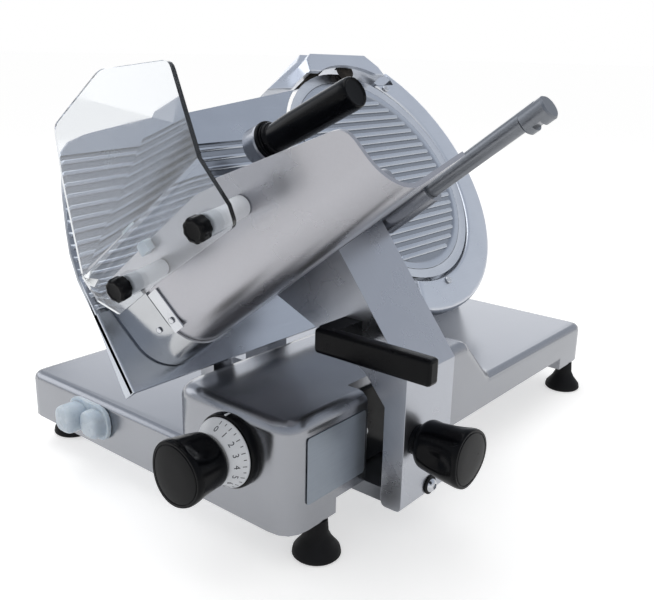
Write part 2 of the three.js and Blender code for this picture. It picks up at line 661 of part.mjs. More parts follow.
// Gauge plate: a ribbed plate whose right end follows the blade
function gaugeOutline() {
  const radius = blade.radius + gauge.gap;
  const shape = new THREE.Shape();
  const from = Math.atan2(gauge.bottom + gauge.cornerUp, gauge.right);
  const to = Math.atan2(gauge.topRight, -Math.sqrt(radius * radius - gauge.topRight * gauge.topRight));
  shape.moveTo(gauge.left, gauge.bottom);
  shape.lineTo(gauge.right, gauge.bottom);
  shape.lineTo(radius * Math.cos(from), radius * Math.sin(from));
  const start = from + wholeTurn * (from < 0 ? 1 : 0);
  shape.absarc(0, 0, radius, start, to, true);
  gauge.topEdge.toReversed().forEach((point) => shape.lineTo(...point));
  const edge = gauge.leftEdge.toReversed();
  shape.quadraticCurveTo(...gauge.topCorner, ...edge[0]);
  edge.slice(1).forEach((point) => shape.lineTo(...point));
  return shape;
}
function gaugePlate() {
  const front = 0;
  const back = -gauge.thick;
  const sheet = slab(gaugeOutline(), back, front - gauge.rib);
  const wave = ribWave(gauge.ribLow, gauge.ribTop, back, front, gauge.rib, gauge.pitch, gauge.share);
  const ribs = ribbedSheet(wave, gauge.left, gauge.right);
  const plain = box(gauge.left, gauge.right, gauge.ribTop - gauge.rib, gauge.topRight, back, front);
  const lower = box(gauge.left, gauge.right, gauge.bottom, gauge.ribLow + gauge.rib, back, front);
  const whole = slab(gaugeOutline(), back, front);
  return join(sheet, meet(join(ribs, plain, lower), whole), endFlange());
}
function endFlange() {
  const deep = gauge.flange;
  const profile = new THREE.Shape([new THREE.Vector2(gauge.bottom, -gauge.thick / 2),
    new THREE.Vector2(gauge.bottom, -deep), new THREE.Vector2(gauge.bottom + gauge.flangeWall, -deep),
    new THREE.Vector2(gauge.flangeTop, -gauge.thick / 2)]);
  return turnedBy(slab(profile, gauge.left, gauge.left + gauge.flangeWall), acrossX);
}
piece('gauge_plate', gaugePlate(), castAluminium, inclined);

// Gauge support: a pad behind the plate, a leg through the deck and a bar to the cam's roller
const gaugeBack = -gauge.thick - clearance;
const contact = index.camLow + follower.roller + follower.play;
const rollerX = index.x - bladeAxis.x * contact;
const rollerZ = index.z - bladeAxis.z * contact;
function gaugeSupport() {
  const [u0, u1] = [follower.y0 - blade.y, follower.y1 - blade.y];
  const padLow = gauge.bottom + follower.padLow;
  const padTop = padLow + follower.padHigh;
  const [back, legFace] = [gaugeBack - follower.padThick, gaugeBack - bite];
  const padBlock = turnedBy(box(u0, u1, padLow, padTop, back, gaugeBack), bladeFrame);
  const legRight = follower.legX + follower.leg;
  const leg = sweptY([[follower.legX, follower.barZ], [legRight, follower.barZ], [legRight, block.top],
    inWorld(padLow + follower.legIn, legFace), inWorld(padTop - follower.legTop, legFace),
    [follower.legX, inWorld(padTop - follower.heel, back)[1]]], follower.y0, follower.y1);
  const bar = box(follower.legX, rollerX + follower.roller, index.camFrom, index.camFrom + index.camThick,
    follower.barZ, follower.barZ + follower.bar);
  const stub = box(rollerX - follower.roller * 0.6, rollerX + follower.roller * 0.6, index.camFrom,
    index.camFrom + index.camThick, follower.barZ, rollerZ);
  const roller = at(turnedBy(drum(follower.roller, index.camFrom, index.camFrom + index.camThick, 0,
    smallSides), turnY), rollerX, 0, rollerZ);
  return join(padBlock, leg, bar, stub, roller);
}
piece('gauge_support', gaugeSupport(), darkAluminium);

// Gauge guide: a bar on the plate's back that slides in a post on the deck
const collarBack = gaugeBack - guide.collarThick;
piece('gauge_guide_bar', at(join(drum(guide.collar, collarBack, gaugeBack),
  drum(guide.radius, gaugeBack - guide.length, collarBack + bite)), guide.along, guide.up, 0), brightSteel,
inclined);
function guidePost() {
  const from = collarBack - gauge.travel - guide.bush - guide.play;
  const middle = new THREE.Vector3(guide.along, guide.up, from + guide.bush / 2).applyMatrix4(bladeFrame);
  const [legX, legHalf, seat] = [middle.x - guide.legShift, guide.boss - guide.legSlim, base.deck + clearance];
  const leg = box(legX - guide.boss, legX + guide.boss, middle.y - legHalf, middle.y + legHalf, seat, middle.z);
  const [footX, footY] = [guide.boss * 2, guide.boss * 1.4];
  const sole = box(middle.x - footX, middle.x + footX, middle.y - footY, middle.y + footY, seat,
    base.deck + cover.seat * 2);
  const barrel = at(drum(guide.boss, from, from + guide.bush), guide.along, guide.up, 0);
  const bore = at(drum(guide.radius + clearance, from - guide.length, collarBack), guide.along, guide.up, 0);
  return cut(join(leg, sole, turnedBy(barrel, bladeFrame)), turnedBy(bore, bladeFrame));
}
piece('gauge_guide_post', guidePost(), castAluminium);

// Index: shaft, spiral cam, bezel, dial and lobed knob on one axis along Y
const knobBack = -index.dialDeep - clearance;
function indexShaft() {
  const end = index.camFrom + index.camThick + index.shaftPast;
  const bar = drum(index.shaft, knobBack - index.socket, end, 0, smallSides);
  return at(turnedBy(bar, turnY), index.x, 0, index.z);
}
piece('index_shaft', indexShaft(), brightSteel);
function indexCam() {
  const steps = roundSides;
  const toRoller = Math.atan2(-bladeAxis.z, -bladeAxis.x);
  const shape = new THREE.Shape();
  for (let i = 0; i <= steps; i += 1) {
    const share = i / steps;
    const turnedSoFar = (index.turn + index.lead) * share - index.lead;
    const angle = toRoller + turnedSoFar;
    const radius = index.camLow + (gauge.travel * Math.max(0, turnedSoFar)) / index.turn;
    const point = [radius * Math.cos(angle), radius * Math.sin(angle)];
    if (i) shape.lineTo(...point);
    else shape.moveTo(...point);
  }
  shape.holes.push(new THREE.Path(circlePoints(index.shaft + clearance, 0, 0, smallSides)));
  const plateSolid = turnedBy(slab(shape, -index.camFrom - index.camThick, -index.camFrom), acrossY);
  return at(plateSolid, index.x, 0, index.z);
}
piece('index_cam', indexCam(), greySteel);
function indexRing() {
  const inner = index.ring - index.ringWall;
  const edge = index.ringEdge;
  const profile = [[inner, clearance], [index.ring, clearance], [index.ring, index.ringDeep - edge],
    [index.ring - edge, index.ringDeep], [inner, index.ringDeep]];
  const pointer = box(-index.pointer, index.pointer, index.ring - bite, index.ring + bite, clearance + bite,
    index.ringDeep - edge);
  return at(turnedBy(join(turned(profile), pointer), towardFront), index.x, 0, index.z);
}
piece('index_bezel', indexRing(), blackPlastic);
function indexDial() {
  const lip = index.ringDeep + clearance * 2;
  const profile = [[index.shaft + clearance, clearance * 2], [index.dial, clearance * 2], [index.dial, lip],
    [index.dialLip, lip], [index.dialLip, lip + index.lipThick], [index.dialFront, index.dialDeep],
    [index.shaft + clearance, index.dialDeep]];
  return at(turnedBy(turned(profile), towardFront), index.x, 0, index.z);
}
piece('index_dial', indexDial(), whiteNylon);
function socketedKnob(radius, lobe, lobes, length, bore, depth) {
  const body = lobedKnob(barrelShares, radius, lobe, lobes, length);
  return cut(body, drum(bore, -overrun, depth, 0, smallSides));
}
const indexKnob = socketedKnob(index.knob, index.lobe, index.lobes, index.knobLong, index.shaft + clearance, index.socket + index.socketPlay);
piece('index_knob', at(turnedBy(indexKnob, towardFront), index.x, knobBack, index.z), blackPlastic);

// Switch: a bezel on the front wall with two pale domed buttons
function switchPlate() {
  const half = button.pitch / 2;
  const r = button.plate;
  const outline = rounded([[-half - r, -r, r], [half + r, -r, r], [half + r, r, r], [-half - r, r, r]]);
  const hole = (x) => at(drum(button.radius + clearance, 0, button.length), x, 0, 0);
  const solid = cut(slab(outline, clearance, button.plateDeep, 1), hole(-half), hole(half));
  return at(turnedBy(solid, towardFront), button.x, 0, button.z);
}
piece('switch_bezel', switchPlate(), paleCap);
['stop_button', 'start_button'].forEach((name, i) => {
  const x = button.x + (i - 0.5) * button.pitch;
  const back = button.travel + clearance * 2;
  const front = back + button.length + (i ? 0 : button.proud);
  const dome = turned([[0, back], [button.radius, back], [button.radius, front - button.edge],
    [button.radius - button.edge / 3, front - button.edge / 3], [button.radius - button.edge, front],
    [0, front]]);
  piece(name, at(turnedBy(dome, towardFront), x, 0, button.z), paleCap);
});

// Sharpener cap over the top of the blade
function capBody() {
  const shape = rounded([[cap.left, cap.foot], [cap.topLeft - cap.cheek, cap.top - cap.cheekDrop],
    [cap.topLeft, cap.top], [cap.topRight, cap.top - cap.topDrop], [cap.right - cap.shoulderIn, cap.shoulder],
    [cap.right, cap.foot + cap.footUp], [cap.right - cap.footIn, cap.foot]]);
  const hood = rounded([[cap.hoodLeft, cap.hoodFoot + cap.hoodUp],
    [cap.hoodLeft + cap.hoodIn, cap.hoodTop - cap.hoodDrop], [cap.hoodCornerLeft, cap.hoodTop],
    [cap.hoodCornerRight, cap.hoodTop - cap.hoodTopDrop],
    [cap.hoodRight - cap.hoodRightIn, cap.hoodFoot + cap.hoodRightUp], [cap.hoodRight, cap.hoodFoot]]);
  const rear = slab(shape, -cap.back, bite, cap.edge);
  const front = slab(hood, -cap.back / 2, cap.front, cap.edge);
  const bladeRoom = drum(cap.slot, -cap.back + cap.wall, cap.front - cap.wall, 0, roundSides * 2);
  const mouth = drum(cap.lip, 0, cap.front + overrun, 0, roundSides * 2);
  const behind = drum(cap.slot, -cap.back - overrun, -cap.back + cap.wall + bite, 0, roundSides * 2);
  const body = cut(join(rear, front), bladeRoom, mouth, behind);
  const hole = turnedBy(drum(pin.radius + clearance, pinLow - clearance, cap.top + overrun, 0, smallSides), turnY);
  const rearRoom = drum(stone.radius + stone.room, -cap.back + cap.wall, -clearance);
  const frontRoom = drum(stone.frontRadius + stone.room, 0, cap.front - cap.wall);
  return cut(body, at(hole, pin.along, 0, -cap.back / 2), at(rearRoom, -stone.along, stone.up, 0),
    at(frontRoom, stone.along, stone.frontUp, 0));
}
const pinLow = cap.top - pin.length;
piece('sharpener_cap', capBody(), castAluminium, inclined);

function ringPull() {
  const stem = turnedBy(drum(pin.radius, pinLow, cap.top + pin.proud, 0, smallSides), turnY);
  const eye = new THREE.TorusGeometry(pin.eye - pin.wire, pin.wire, smallSides / 2, smallSides);
  return join(stem, at(closed(eye), 0, cap.top + pin.proud + pin.eye - pin.wire, 0));
}
piece('sharpener_pin', at(ringPull(), pin.along, 0, -cap.back / 2), brightSteel, inclined);

// Two stones on short axles inside the cap, one behind the edge and one before it
function stoneWheel(radius, gap, reach) {
  const wheel = drum(radius, gap, gap + stone.thick, stone.edge);
  return join(wheel, drum(stone.axle, stone.thick, reach - clearance, 0, smallSides));
}
piece('sharpening_stone', at(turnedBy(stoneWheel(stone.radius, stone.rearGap, cap.back - cap.wall - blade.thick),
  new THREE.Matrix4().makeRotationX(Math.PI)), -stone.along, stone.up, -blade.thick), stoneGrey, inclined);
piece('deburring_stone', at(stoneWheel(stone.frontRadius, stone.gap, cap.front - cap.wall), stone.along,
  stone.frontUp, 0), stoneGrey, inclined);

// Ring guard screws
['upper', 'lower'].forEach((place, i) => {
  const [u, v] = ringScrews[i];
  piece(`ring_screw_${place}`, at(slottedHead(ringScrew), u, v, ring.front + clearance), brightSteel, inclined);
});

// A cylinder head with a slot across it
function slottedHead({ radius, high, slot, deep }) {
  const head = drum(radius, 0, high, high / 4, smallSides);
  return cut(head, box(-radius * 2, radius * 2, -slot / 2, slot / 2, high - deep, high * 2));
}

// Carriage: the slide rod under the deck, the slider on it and the arm up to the tray
piece('slide_rod', at(turnedBy(drum(slide.radius, base.wall + clearance, base.depth - base.wall - clearance),
  turnY), slide.x, 0, slide.z), brightSteel);

const armBack = arm.front + arm.width;
function carriageSlider() {
  const [y0, y1] = [arm.front + clearance, armBack - clearance];
  const ledgeLow = slide.ledgeTop - slide.ledgeThick;
  const inner = arm.outerX - arm.footThick - clearance;
  const ledge = box(slide.x - slide.bush, inner, y0, y1, ledgeLow, slide.ledgeTop);
  const bush = box(slide.x - slide.bush, slide.x + slide.bush, y0, y1, ledgeLow, slide.z + slide.bush);
  const bore = drum(slide.radius + clearance, y0 - overrun, y1 + overrun);
  return cut(join(ledge, bush), at(turnedBy(bore, turnY), slide.x, 0, slide.z));
}
piece('carriage_slider', carriageSlider(), greySteel);

// The plane through a blade frame w, as a line in X and Z, met with a vertical X
function foldAt(w, x) {
  const v = (blade.x + bladeAxis.x * w - x) / -bladeUp.x;
  return inWorld(v, w);
}

function aboveTray() {
  const reach = base.width * 2;
  const half = box(-reach, reach, -clearance, reach, -reach, reach);
  return turnedBy(turnedBy(half, trayFrame), bladeFrame);
}

function carriageArm() {
  const inner = arm.face - arm.thick;
  const footInner = arm.outerX - arm.footThick;
  const plateShape = sweptY([[arm.outerX, arm.footBottom, arm.corner], foldAt(arm.face, arm.outerX),
    inWorld(arm.top, arm.face), inWorld(arm.top, inner), foldAt(inner, footInner),
    [footInner, arm.footBottom, arm.corner]], arm.front, armBack);
  const web = sweptY([...arm.webEdge, inWorld(arm.top, inner + arm.thick / 2),
    foldAt(inner + arm.thick / 2, arm.outerX - arm.thick / 2)], arm.front, arm.front + arm.web);
  const hole = drum(lock.stud + clearance, footInner - overrun, arm.outerX + overrun, 0, smallSides);
  return cut(join(plateShape, web), aboveTray(), at(turnedBy(hole, turnX), 0, lock.y, lock.z));
}
piece('carriage_arm', carriageArm(), satinAluminium);

const outside = arm.outerX + clearance;
function lockKnob() {
  const head = lobedKnob(barrelShares, lock.radius, lock.lobe, lock.lobes, lock.length);
  const neck = drum(lock.neck, 0, lock.neckLong);
  const stud = drum(lock.stud, -arm.footThick, bite, 0, smallSides);
  const knob = join(at(head, 0, 0, lock.neckLong - bite), neck, stud);
  return at(turnedBy(knob, turnX), outside, lock.y, lock.z);
}
piece('lock_knob', lockKnob(), blackPlastic);
function footBolt() {
  const washer = drum(bolt.washer, 0, bolt.washerThick);
  const head = drum(bolt.radius, bolt.washerThick / 2, bolt.head, bolt.washerThick / 2);
  const socket = drum(bolt.socket, bolt.head / 2, bolt.head * 2, 0, hexSides);
  return at(turnedBy(cut(join(washer, head), socket), turnX), outside, bolt.y, bolt.z);
}
piece('carriage_bolt', footBolt(), greySteel);

// Carriage handle: a bar with a leg back to the arm's web
function carriageHandle() {
  const [y0, y1] = [grip.y - grip.deep / 2, grip.y + grip.deep / 2];
  const [z0, z1] = [grip.z - grip.high / 2, grip.z + grip.high / 2];
  const bar = sweptX([[y0, z0, grip.edge * cornerShare], [y1, z0, grip.edge * cornerShare],
    [y1, z1, grip.edge * cornerShare], [y0, z1, grip.edge * cornerShare]], grip.left, grip.right, grip.edge);
  const leg = box(grip.left, grip.left + grip.leg, grip.y, arm.front - clearance, z0, z1);
  return join(bar, leg);
}
piece('carriage_handle', carriageHandle(), blackPlastic);

// Tray: a bent trough whose wall falls away towards the far end
const acrossZ = new THREE.Matrix4().makeBasis(unitZ, unitY, unitX.clone().negate());
function sweptZ(points, x0, x1, edge = 0) {
  return turnedBy(slab(rounded(points), -x1, -x0, edge), acrossZ);
}

function troughSheet(offset, thick, top, right, near, far) {
  const [out, inn] = [-offset, -offset + thick];
  const [outBend, inBend] = [tray.bend + offset, tray.bend + offset - thick];
  const shape = new THREE.Shape();
  shape.moveTo(inn, top);
  shape.lineTo(out, top);
  shape.absarc(out + outBend, out + outBend, outBend, Math.PI, Math.PI * 1.5, false);
  shape.lineTo(right, out);
  shape.lineTo(right, inn);
  shape.absarc(inn + inBend, inn + inBend, inBend, Math.PI * 1.5, Math.PI, true);
  return slab(shape, near, far);
}

function trayBody() {
  const sheet = troughSheet(0, tray.wall, tray.topNear * 2, tray.floor, tray.near, tray.far);
  const side = sweptZ([[tray.near, tray.topNear], [tray.near, -overrun], [tray.far, -overrun],
    [tray.far, tray.topFar, tray.round], [tray.shoulder, tray.shoulderTop, tray.round * 2]],
  -overrun, tray.floor + overrun);
  const corner = sweptY([[tray.floor - tray.cutFloor * 1.5, tray.far + tray.cutLong * 0.2],
    [tray.floor + overrun, tray.far - tray.cutLong], [tray.floor + overrun, tray.far + tray.cutLong]],
  -overrun, tray.bend);
  return cut(meet(sheet, side), corner);
}
piece('tray', trayBody(), satinAluminium, trough);

const noseOut = clearance + nose.thick;
const noseSheet = troughSheet(noseOut, nose.thick, nose.top, nose.tail, nose.near, nose.far);
piece('tray_nose', noseSheet, satinAluminium, trough);
piece('nose_strip', box(-clearance - nose.stripThick, -clearance, nose.stripLow, nose.stripTop,
  nose.far + clearance, nose.far + nose.strip), brightSteel, trough);

// Parts that stand out from the tray's wall, along local -X
const outward = new THREE.Matrix4().makeRotationY(-Math.PI / 2);
function onWall(geometry, out, high, long) {
  return at(turnedBy(geometry, outward), -out, high, long);
}
const rivetHead = drum(nose.rivet, 0, nose.rivetHead, nose.rivetHead / 2, smallSides);
piece('nose_rivet', onWall(rivetHead, noseOut + clearance, nose.rivetAt, nose.far - nose.strip), brightSteel,
  trough);
piece('strip_rivet', onWall(rivetHead, clearance * 2 + nose.stripThick, nose.rivetAt,
  nose.far + nose.strip / 2), brightSteel, trough);
const [clipFar, clipLow] = [clip.near + clip.long, tray.topNear - clip.high];
piece('tray_catch', sweptZ([[clip.near, clipLow], [clipFar, clipLow], [clipFar, tray.topNear, clip.corner],
  [clip.near, tray.topNear, clip.corner]], -clearance - clip.deep, -clearance), blackPlastic, trough);

const guardBack = clearance * 2 + standoff.length;
const guardFront = guardBack + guard.thick + clearance;
[['upper', standoff.upper, standoff.upperHigh], ['lower', standoff.lower, standoff.lowerHigh]]
  .forEach(([place, long, high]) => {
    const post = drum(standoff.radius, 0, standoff.length, standoff.edge);
    piece(`standoff_${place}`, onWall(post, clearance, high, long), whiteNylon, trough);
    const knob = lobedKnob(buttonShares, knobSmall.radius, knobSmall.lobe, knobSmall.lobes, knobSmall.length);
    piece(`guard_knob_${place}`, onWall(knob, guardFront, high, long), blackPlastic, trough);
  });

// Hand guard: a clear sheet folded back along one line
function handGuard() {
  const middle = -guardBack - guard.thick / 2;
  const lower = sweptZ(guard.lower, middle - guard.thick / 2, middle + guard.thick / 2);
  const upper = turnedBy(sweptZ(guard.upper, -guard.thick / 2, guard.thick / 2),
    new THREE.Matrix4().makeRotationZ(-guard.foldBack));
  const bend = drum(guard.thick / 2, guard.foldNear, guard.foldFar, 0, smallSides);
  return join(lower, at(upper, middle, guard.fold, 0), at(bend, middle, guard.fold, 0));
}
piece('hand_guard', handGuard(), clearPlastic, trough);

// Pusher: rod, bracket and end block on the tray, then the sliding arm, toothed plate and handle
piece('pusher_rod', at(drum(rod.radius, rod.near, rod.far), rodAlong, rod.up, 0), brightSteel, inclined);
function rodBracket() {
  const local = new THREE.Vector3(rodAlong, rod.up, 0).applyMatrix4(trayFrame.clone().invert());
  const ringPart = at(drum(rod.bracketRadius, rod.near, rod.near + rod.bracket), local.x, local.y, 0);
  const foot = box(local.x - rod.bracketFoot, local.x, -clearance - rod.bracketThick, -clearance, rod.near,
    rod.near + rod.bracket);
  const bore = at(drum(rod.radius + clearance, rod.near - overrun, rod.far), local.x, local.y, 0);
  return cut(join(ringPart, foot), bore);
}
piece('rod_bracket', rodBracket(), satinAluminium, trough);
function rodEndBlock() {
  const from = rod.far + rod.cap - rod.block;
  const body = drum(rod.blockRadius, from, rod.far + rod.cap, rod.edge);
  const bore = drum(rod.radius + clearance, from - overrun, rod.far + clearance);
  const under = -rod.blockRadius;
  const notchCut = box(-rod.blockRadius, rod.blockRadius, under - overrun, under + rod.notch / 2,
    from + rod.notch, from + rod.notch * 2);
  return at(cut(at(cut(body, notchCut), 0, -rod.drop, 0), bore), rodAlong, rod.up, 0);
}
piece('rod_end_block', rodEndBlock(), satinAluminium, inclined);

const handleFrame = new THREE.Matrix4().makeRotationX(pusher.droop);
handleFrame.setPosition(rodAlong, pusher.top, pusher.out);
function pusherArm() {
  const outer = rod.radius + clearance + pusher.sliderWall;
  const tube = at(drum(outer, pusher.sliderNear, pusher.sliderNear + pusher.slider), rodAlong, rod.up, 0);
  const bore = at(drum(rod.radius + clearance, rod.near, rod.far), rodAlong, rod.up, 0);
  const crank = slab(rounded(pusher.crank), rodAlong - pusher.armHalf, rodAlong + pusher.armHalf);
  const seat = turnedBy(drum(pusher.flange, -pusher.seat, -clearance, pusher.seatEdge), handleFrame);
  return cut(join(tube, turnedBy(crank, acrossX), seat), bore);
}
piece('pusher_arm', pusherArm(), castAluminium, inclined);
function pusherHandle() {
  const flange = drum(pusher.flange, 0, pusher.flangeThick, pusher.flangeEdge);
  const shaft = drum(pusher.handle, pusher.flangeThick / 2, pusher.handleLong, pusher.handleEdge);
  return turnedBy(join(flange, shaft), handleFrame);
}
piece('pusher_handle', pusherHandle(), blackPlastic, inclined);
function pusherPlate() {
  const back = pusher.near + pusher.thick;
  const outline = [[pusher.left, pusher.low, pusher.tooth], [pusher.far, pusher.low, pusher.tooth],
    [pusher.far, pusher.high, pusher.tooth * 4], [pusher.left, pusher.high, pusher.tooth * 3]];
  const sheet = slab(rounded(outline), pusher.near, back);
  const pitch = (pusher.high - pusher.low) / (pusher.teeth + 1);
  const rows = Array.from({ length: pusher.teeth }, (unused, i) => {
    const y = pusher.low + pitch * (i + 1);
    const root = pusher.near + bite;
    const profile = [[root, y - pusher.toothBase / 2], [root, y + pusher.toothBase / 2],
      [pusher.near - pusher.tooth, y - pusher.toothBase / 2]];
    return sweptZ(profile, pusher.left + pusher.tooth * 3, pusher.far - pusher.tooth * 3);
  });
  return join(sheet, ...rows);
}
piece('pusher_plate', pusherPlate(), satinAluminium, trough);

// Blank rating plate
const [plateTo, plateTop] = [plate.from + plate.wide, plate.low + plate.high];
piece('rating_plate', sweptX([[plate.from, plate.low, plate.round], [plateTo, plate.low, plate.round],
  [plateTo, plateTop, plate.round], [plate.from, plateTop, plate.round]],
clearance, clearance + plate.thick), brightSteel);

// Origin at the middle of the bottom
const whole = new THREE.Box3().setFromObject(machine, true);
machine.position.set(-(whole.min.x + whole.max.x) / 2, -(whole.min.y + whole.max.y) / 2, -whole.min.z);
machine.updateMatrixWorld(true);
export default machine;
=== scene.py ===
import json
import math

import bmesh
import bpy
import numpy as np
from mathutils import Matrix, Vector


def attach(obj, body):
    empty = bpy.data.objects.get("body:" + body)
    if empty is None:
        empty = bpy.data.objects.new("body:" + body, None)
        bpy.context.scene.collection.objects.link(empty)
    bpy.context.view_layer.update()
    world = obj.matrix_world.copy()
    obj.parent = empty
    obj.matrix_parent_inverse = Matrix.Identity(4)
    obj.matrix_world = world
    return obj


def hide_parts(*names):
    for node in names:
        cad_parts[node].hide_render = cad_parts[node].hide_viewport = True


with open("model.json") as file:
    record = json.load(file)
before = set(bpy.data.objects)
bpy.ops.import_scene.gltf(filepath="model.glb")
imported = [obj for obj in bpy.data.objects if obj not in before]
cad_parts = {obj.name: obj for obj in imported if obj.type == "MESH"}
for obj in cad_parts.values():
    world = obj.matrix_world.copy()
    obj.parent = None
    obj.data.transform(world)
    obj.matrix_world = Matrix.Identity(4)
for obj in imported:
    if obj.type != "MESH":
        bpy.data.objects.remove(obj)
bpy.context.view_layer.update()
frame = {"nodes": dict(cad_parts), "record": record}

nodes = frame["nodes"]

# The slicer's own frames: mm from the base's front right corner, the blade's plane, the tray's trough
rowShift = np.array([144.17138878, -261.77054389, 5.0])
tilt = math.radians(37.7)
lean = math.radians(13)
bladeAxis = np.array([math.cos(tilt), 0, math.sin(tilt)])
bladeUp = np.array([-math.sin(tilt), 0, math.cos(tilt)])
bladeAlong = np.array([0, 1.0, 0])
bladeCentre = np.array([-221.5, 422.4, 270.3])
trayCorner = np.array([-443.7, -153.3])
trayAlong = bladeAlong * math.cos(lean) + bladeUp * math.sin(lean)
trayUp = bladeUp * math.cos(lean) - bladeAlong * math.sin(lean)


def toRow(points):
    # slicer millimetres to metres in the part's frame
    return (np.asarray(points, float) + rowShift) / 1000


def placedBy(origin, first, second, third):
    # local x, y, z run along three directions from one point of the slicer's frame
    basis = np.array([first, second, third], float)
    return lambda points: toRow(np.asarray(origin, float) + np.asarray(points, float) @ basis)


fromBlade = placedBy(bladeCentre, bladeAlong, bladeUp, bladeAxis)
trayOrigin = bladeCentre + trayCorner[0] * bladeAlong + trayCorner[1] * bladeUp
fromTray = placedBy(trayOrigin, trayAlong, trayUp, bladeAxis)
acrossWorld = np.eye(3)


def towardFront(x, y, z):
    # local z comes out of the front wall
    return placedBy((x, y, z), acrossWorld[0], acrossWorld[2], -acrossWorld[1])


def towardRight(x, y, z):
    # local z comes out of the right wall
    return placedBy((x, y, z), acrossWorld[1], acrossWorld[2], acrossWorld[0])


# Camera, at the photograph's place
cameraSetup = {"place": (393.176, -438.388, 419.427), "yaw": 39.2739, "pitch": 16.9353, "roll": 1.2408,
               "focalPixels": 821.69, "imageWide": 654, "sensor": 36, "nearest": 0.01}


def makeCamera(s):
    # forward from yaw and pitch, then the picture turned about it by roll
    yaw, pitch, roll = (math.radians(s[k]) for k in ("yaw", "pitch", "roll"))
    forward = np.array([-math.sin(yaw) * math.cos(pitch), math.cos(yaw) * math.cos(pitch), -math.sin(pitch)])
    side = np.array([math.cos(yaw), math.sin(yaw), 0])
    up = np.cross(side, forward)
    right = side * math.cos(roll) + up * math.sin(roll)
    head = np.cross(right, forward)
    turn = Matrix(np.stack([right, head, -forward], axis=1).tolist()).to_4x4()
    data = bpy.data.cameras.new("photoCamera")
    data.sensor_width = s["sensor"]
    data.lens = s["focalPixels"] / s["imageWide"] * s["sensor"]
    data.clip_start = s["nearest"]
    camera = bpy.data.objects.new("photoCamera", data)
    bpy.context.scene.collection.objects.link(camera)
    camera.matrix_world = Matrix.Translation(Vector(toRow(s["place"]))) @ turn
    bpy.context.scene.camera = camera
    print("camera placed")


makeCamera(cameraSetup)


# Materials: shared helpers
def linear(hexColour, alpha=1.0):
    # sRGB hex to linear, by the standard curve
    parts = [int(hexColour[i:i + 2], 16) / 255 for i in (0, 2, 4)]
    return tuple(c / 12.92 if c <= 0.04045 else ((c + 0.055) / 1.055) ** 2.4 for c in parts) + (alpha,)


def addNode(tree, kind, settings=None, links=None):
    # one shader node with its settings, socket values and incoming links
    node = tree.nodes.new(kind)
    for key, value in (settings or {}).items():
        if isinstance(key, str) and hasattr(node, key):
            setattr(node, key, value)
        else:
            node.inputs[key].default_value = value
    for key, source in (links or {}).items():
        tree.links.new(source, node.inputs[key])
    return node


def addRamp(tree, factor, stops):
    ramp = addNode(tree, "ShaderNodeValToRGB", links={"Fac": factor})
    band = ramp.color_ramp
    while len(band.elements) < len(stops):
        band.elements.new(0.5)
    for element, (place, colour) in zip(band.elements, stops):
        element.position = place
        element.color = colour
    return ramp.outputs["Color"]


def grey(level):
    return (level, level, level, 1)


# Studio: a white floor and background, a cool soft sky for reflections, and three large soft lamps
studio = {"floor": "ededed", "floorGlow": 0.5, "floorHalf": 40.0, "low": "d9d6d4", "horizon": "f2f3f5",
          "sky": "d6dce6", "top": "aab2c0", "fill": 0.58}
# each lamp: its place, what it points at, its two sides in metres and its watts
lamps = {"overhead": [(-0.3, -0.2, 1.7), (0, 0, 0.1), (1.6, 1.2), 9.0],
         "leftWindow": [(-1.7, -0.7, 1.0), (0, 0, 0.2), (1.0, 1.0), 4.0],
         "backSoftbox": [(-1.75, 2.15, 0.85), (0, 0, 0.1), (2.6, 1.1), 7.2]}


def makeWorld(s):
    # white behind the object, a graded sky in its reflections and an even fill for the rest
    world = bpy.data.worlds.new("studio")
    bpy.context.scene.world = world
    world.use_nodes = True
    tree = world.node_tree
    tree.nodes.clear()
    place = addNode(tree, "ShaderNodeTexCoord")
    parts = addNode(tree, "ShaderNodeSeparateXYZ", links={"Vector": place.outputs["Generated"]})
    height = addNode(tree, "ShaderNodeMapRange", {"From Min": -0.5, "From Max": 1.0},
                     {"Value": parts.outputs["Z"]})
    seen = addRamp(tree, height.outputs["Result"], [
        (0.0, linear(s["low"])), (0.34, linear(s["horizon"])), (0.62, linear(s["sky"])),
        (1.0, linear(s["top"]))])
    path = addNode(tree, "ShaderNodeLightPath")
    straight = addNode(tree, "ShaderNodeMath", {"operation": "MAXIMUM"},
                       {0: path.outputs["Is Camera Ray"], 1: path.outputs["Is Transmission Ray"]})
    sky = addNode(tree, "ShaderNodeBackground", {"Strength": 1.0}, {"Color": seen})
    fill = addNode(tree, "ShaderNodeBackground", {"Color": grey(1), "Strength": s["fill"]})
    white = addNode(tree, "ShaderNodeBackground", {"Color": grey(1), "Strength": 1.0})
    lit = addNode(tree, "ShaderNodeMixShader", links={
        0: path.outputs["Is Glossy Ray"], 1: fill.outputs[0], 2: sky.outputs[0]})
    shown = addNode(tree, "ShaderNodeMixShader", links={0: straight.outputs[0], 1: lit.outputs[0],
                                                        2: white.outputs[0]})
    addNode(tree, "ShaderNodeOutputWorld", links={"Surface": shown.outputs[0]})


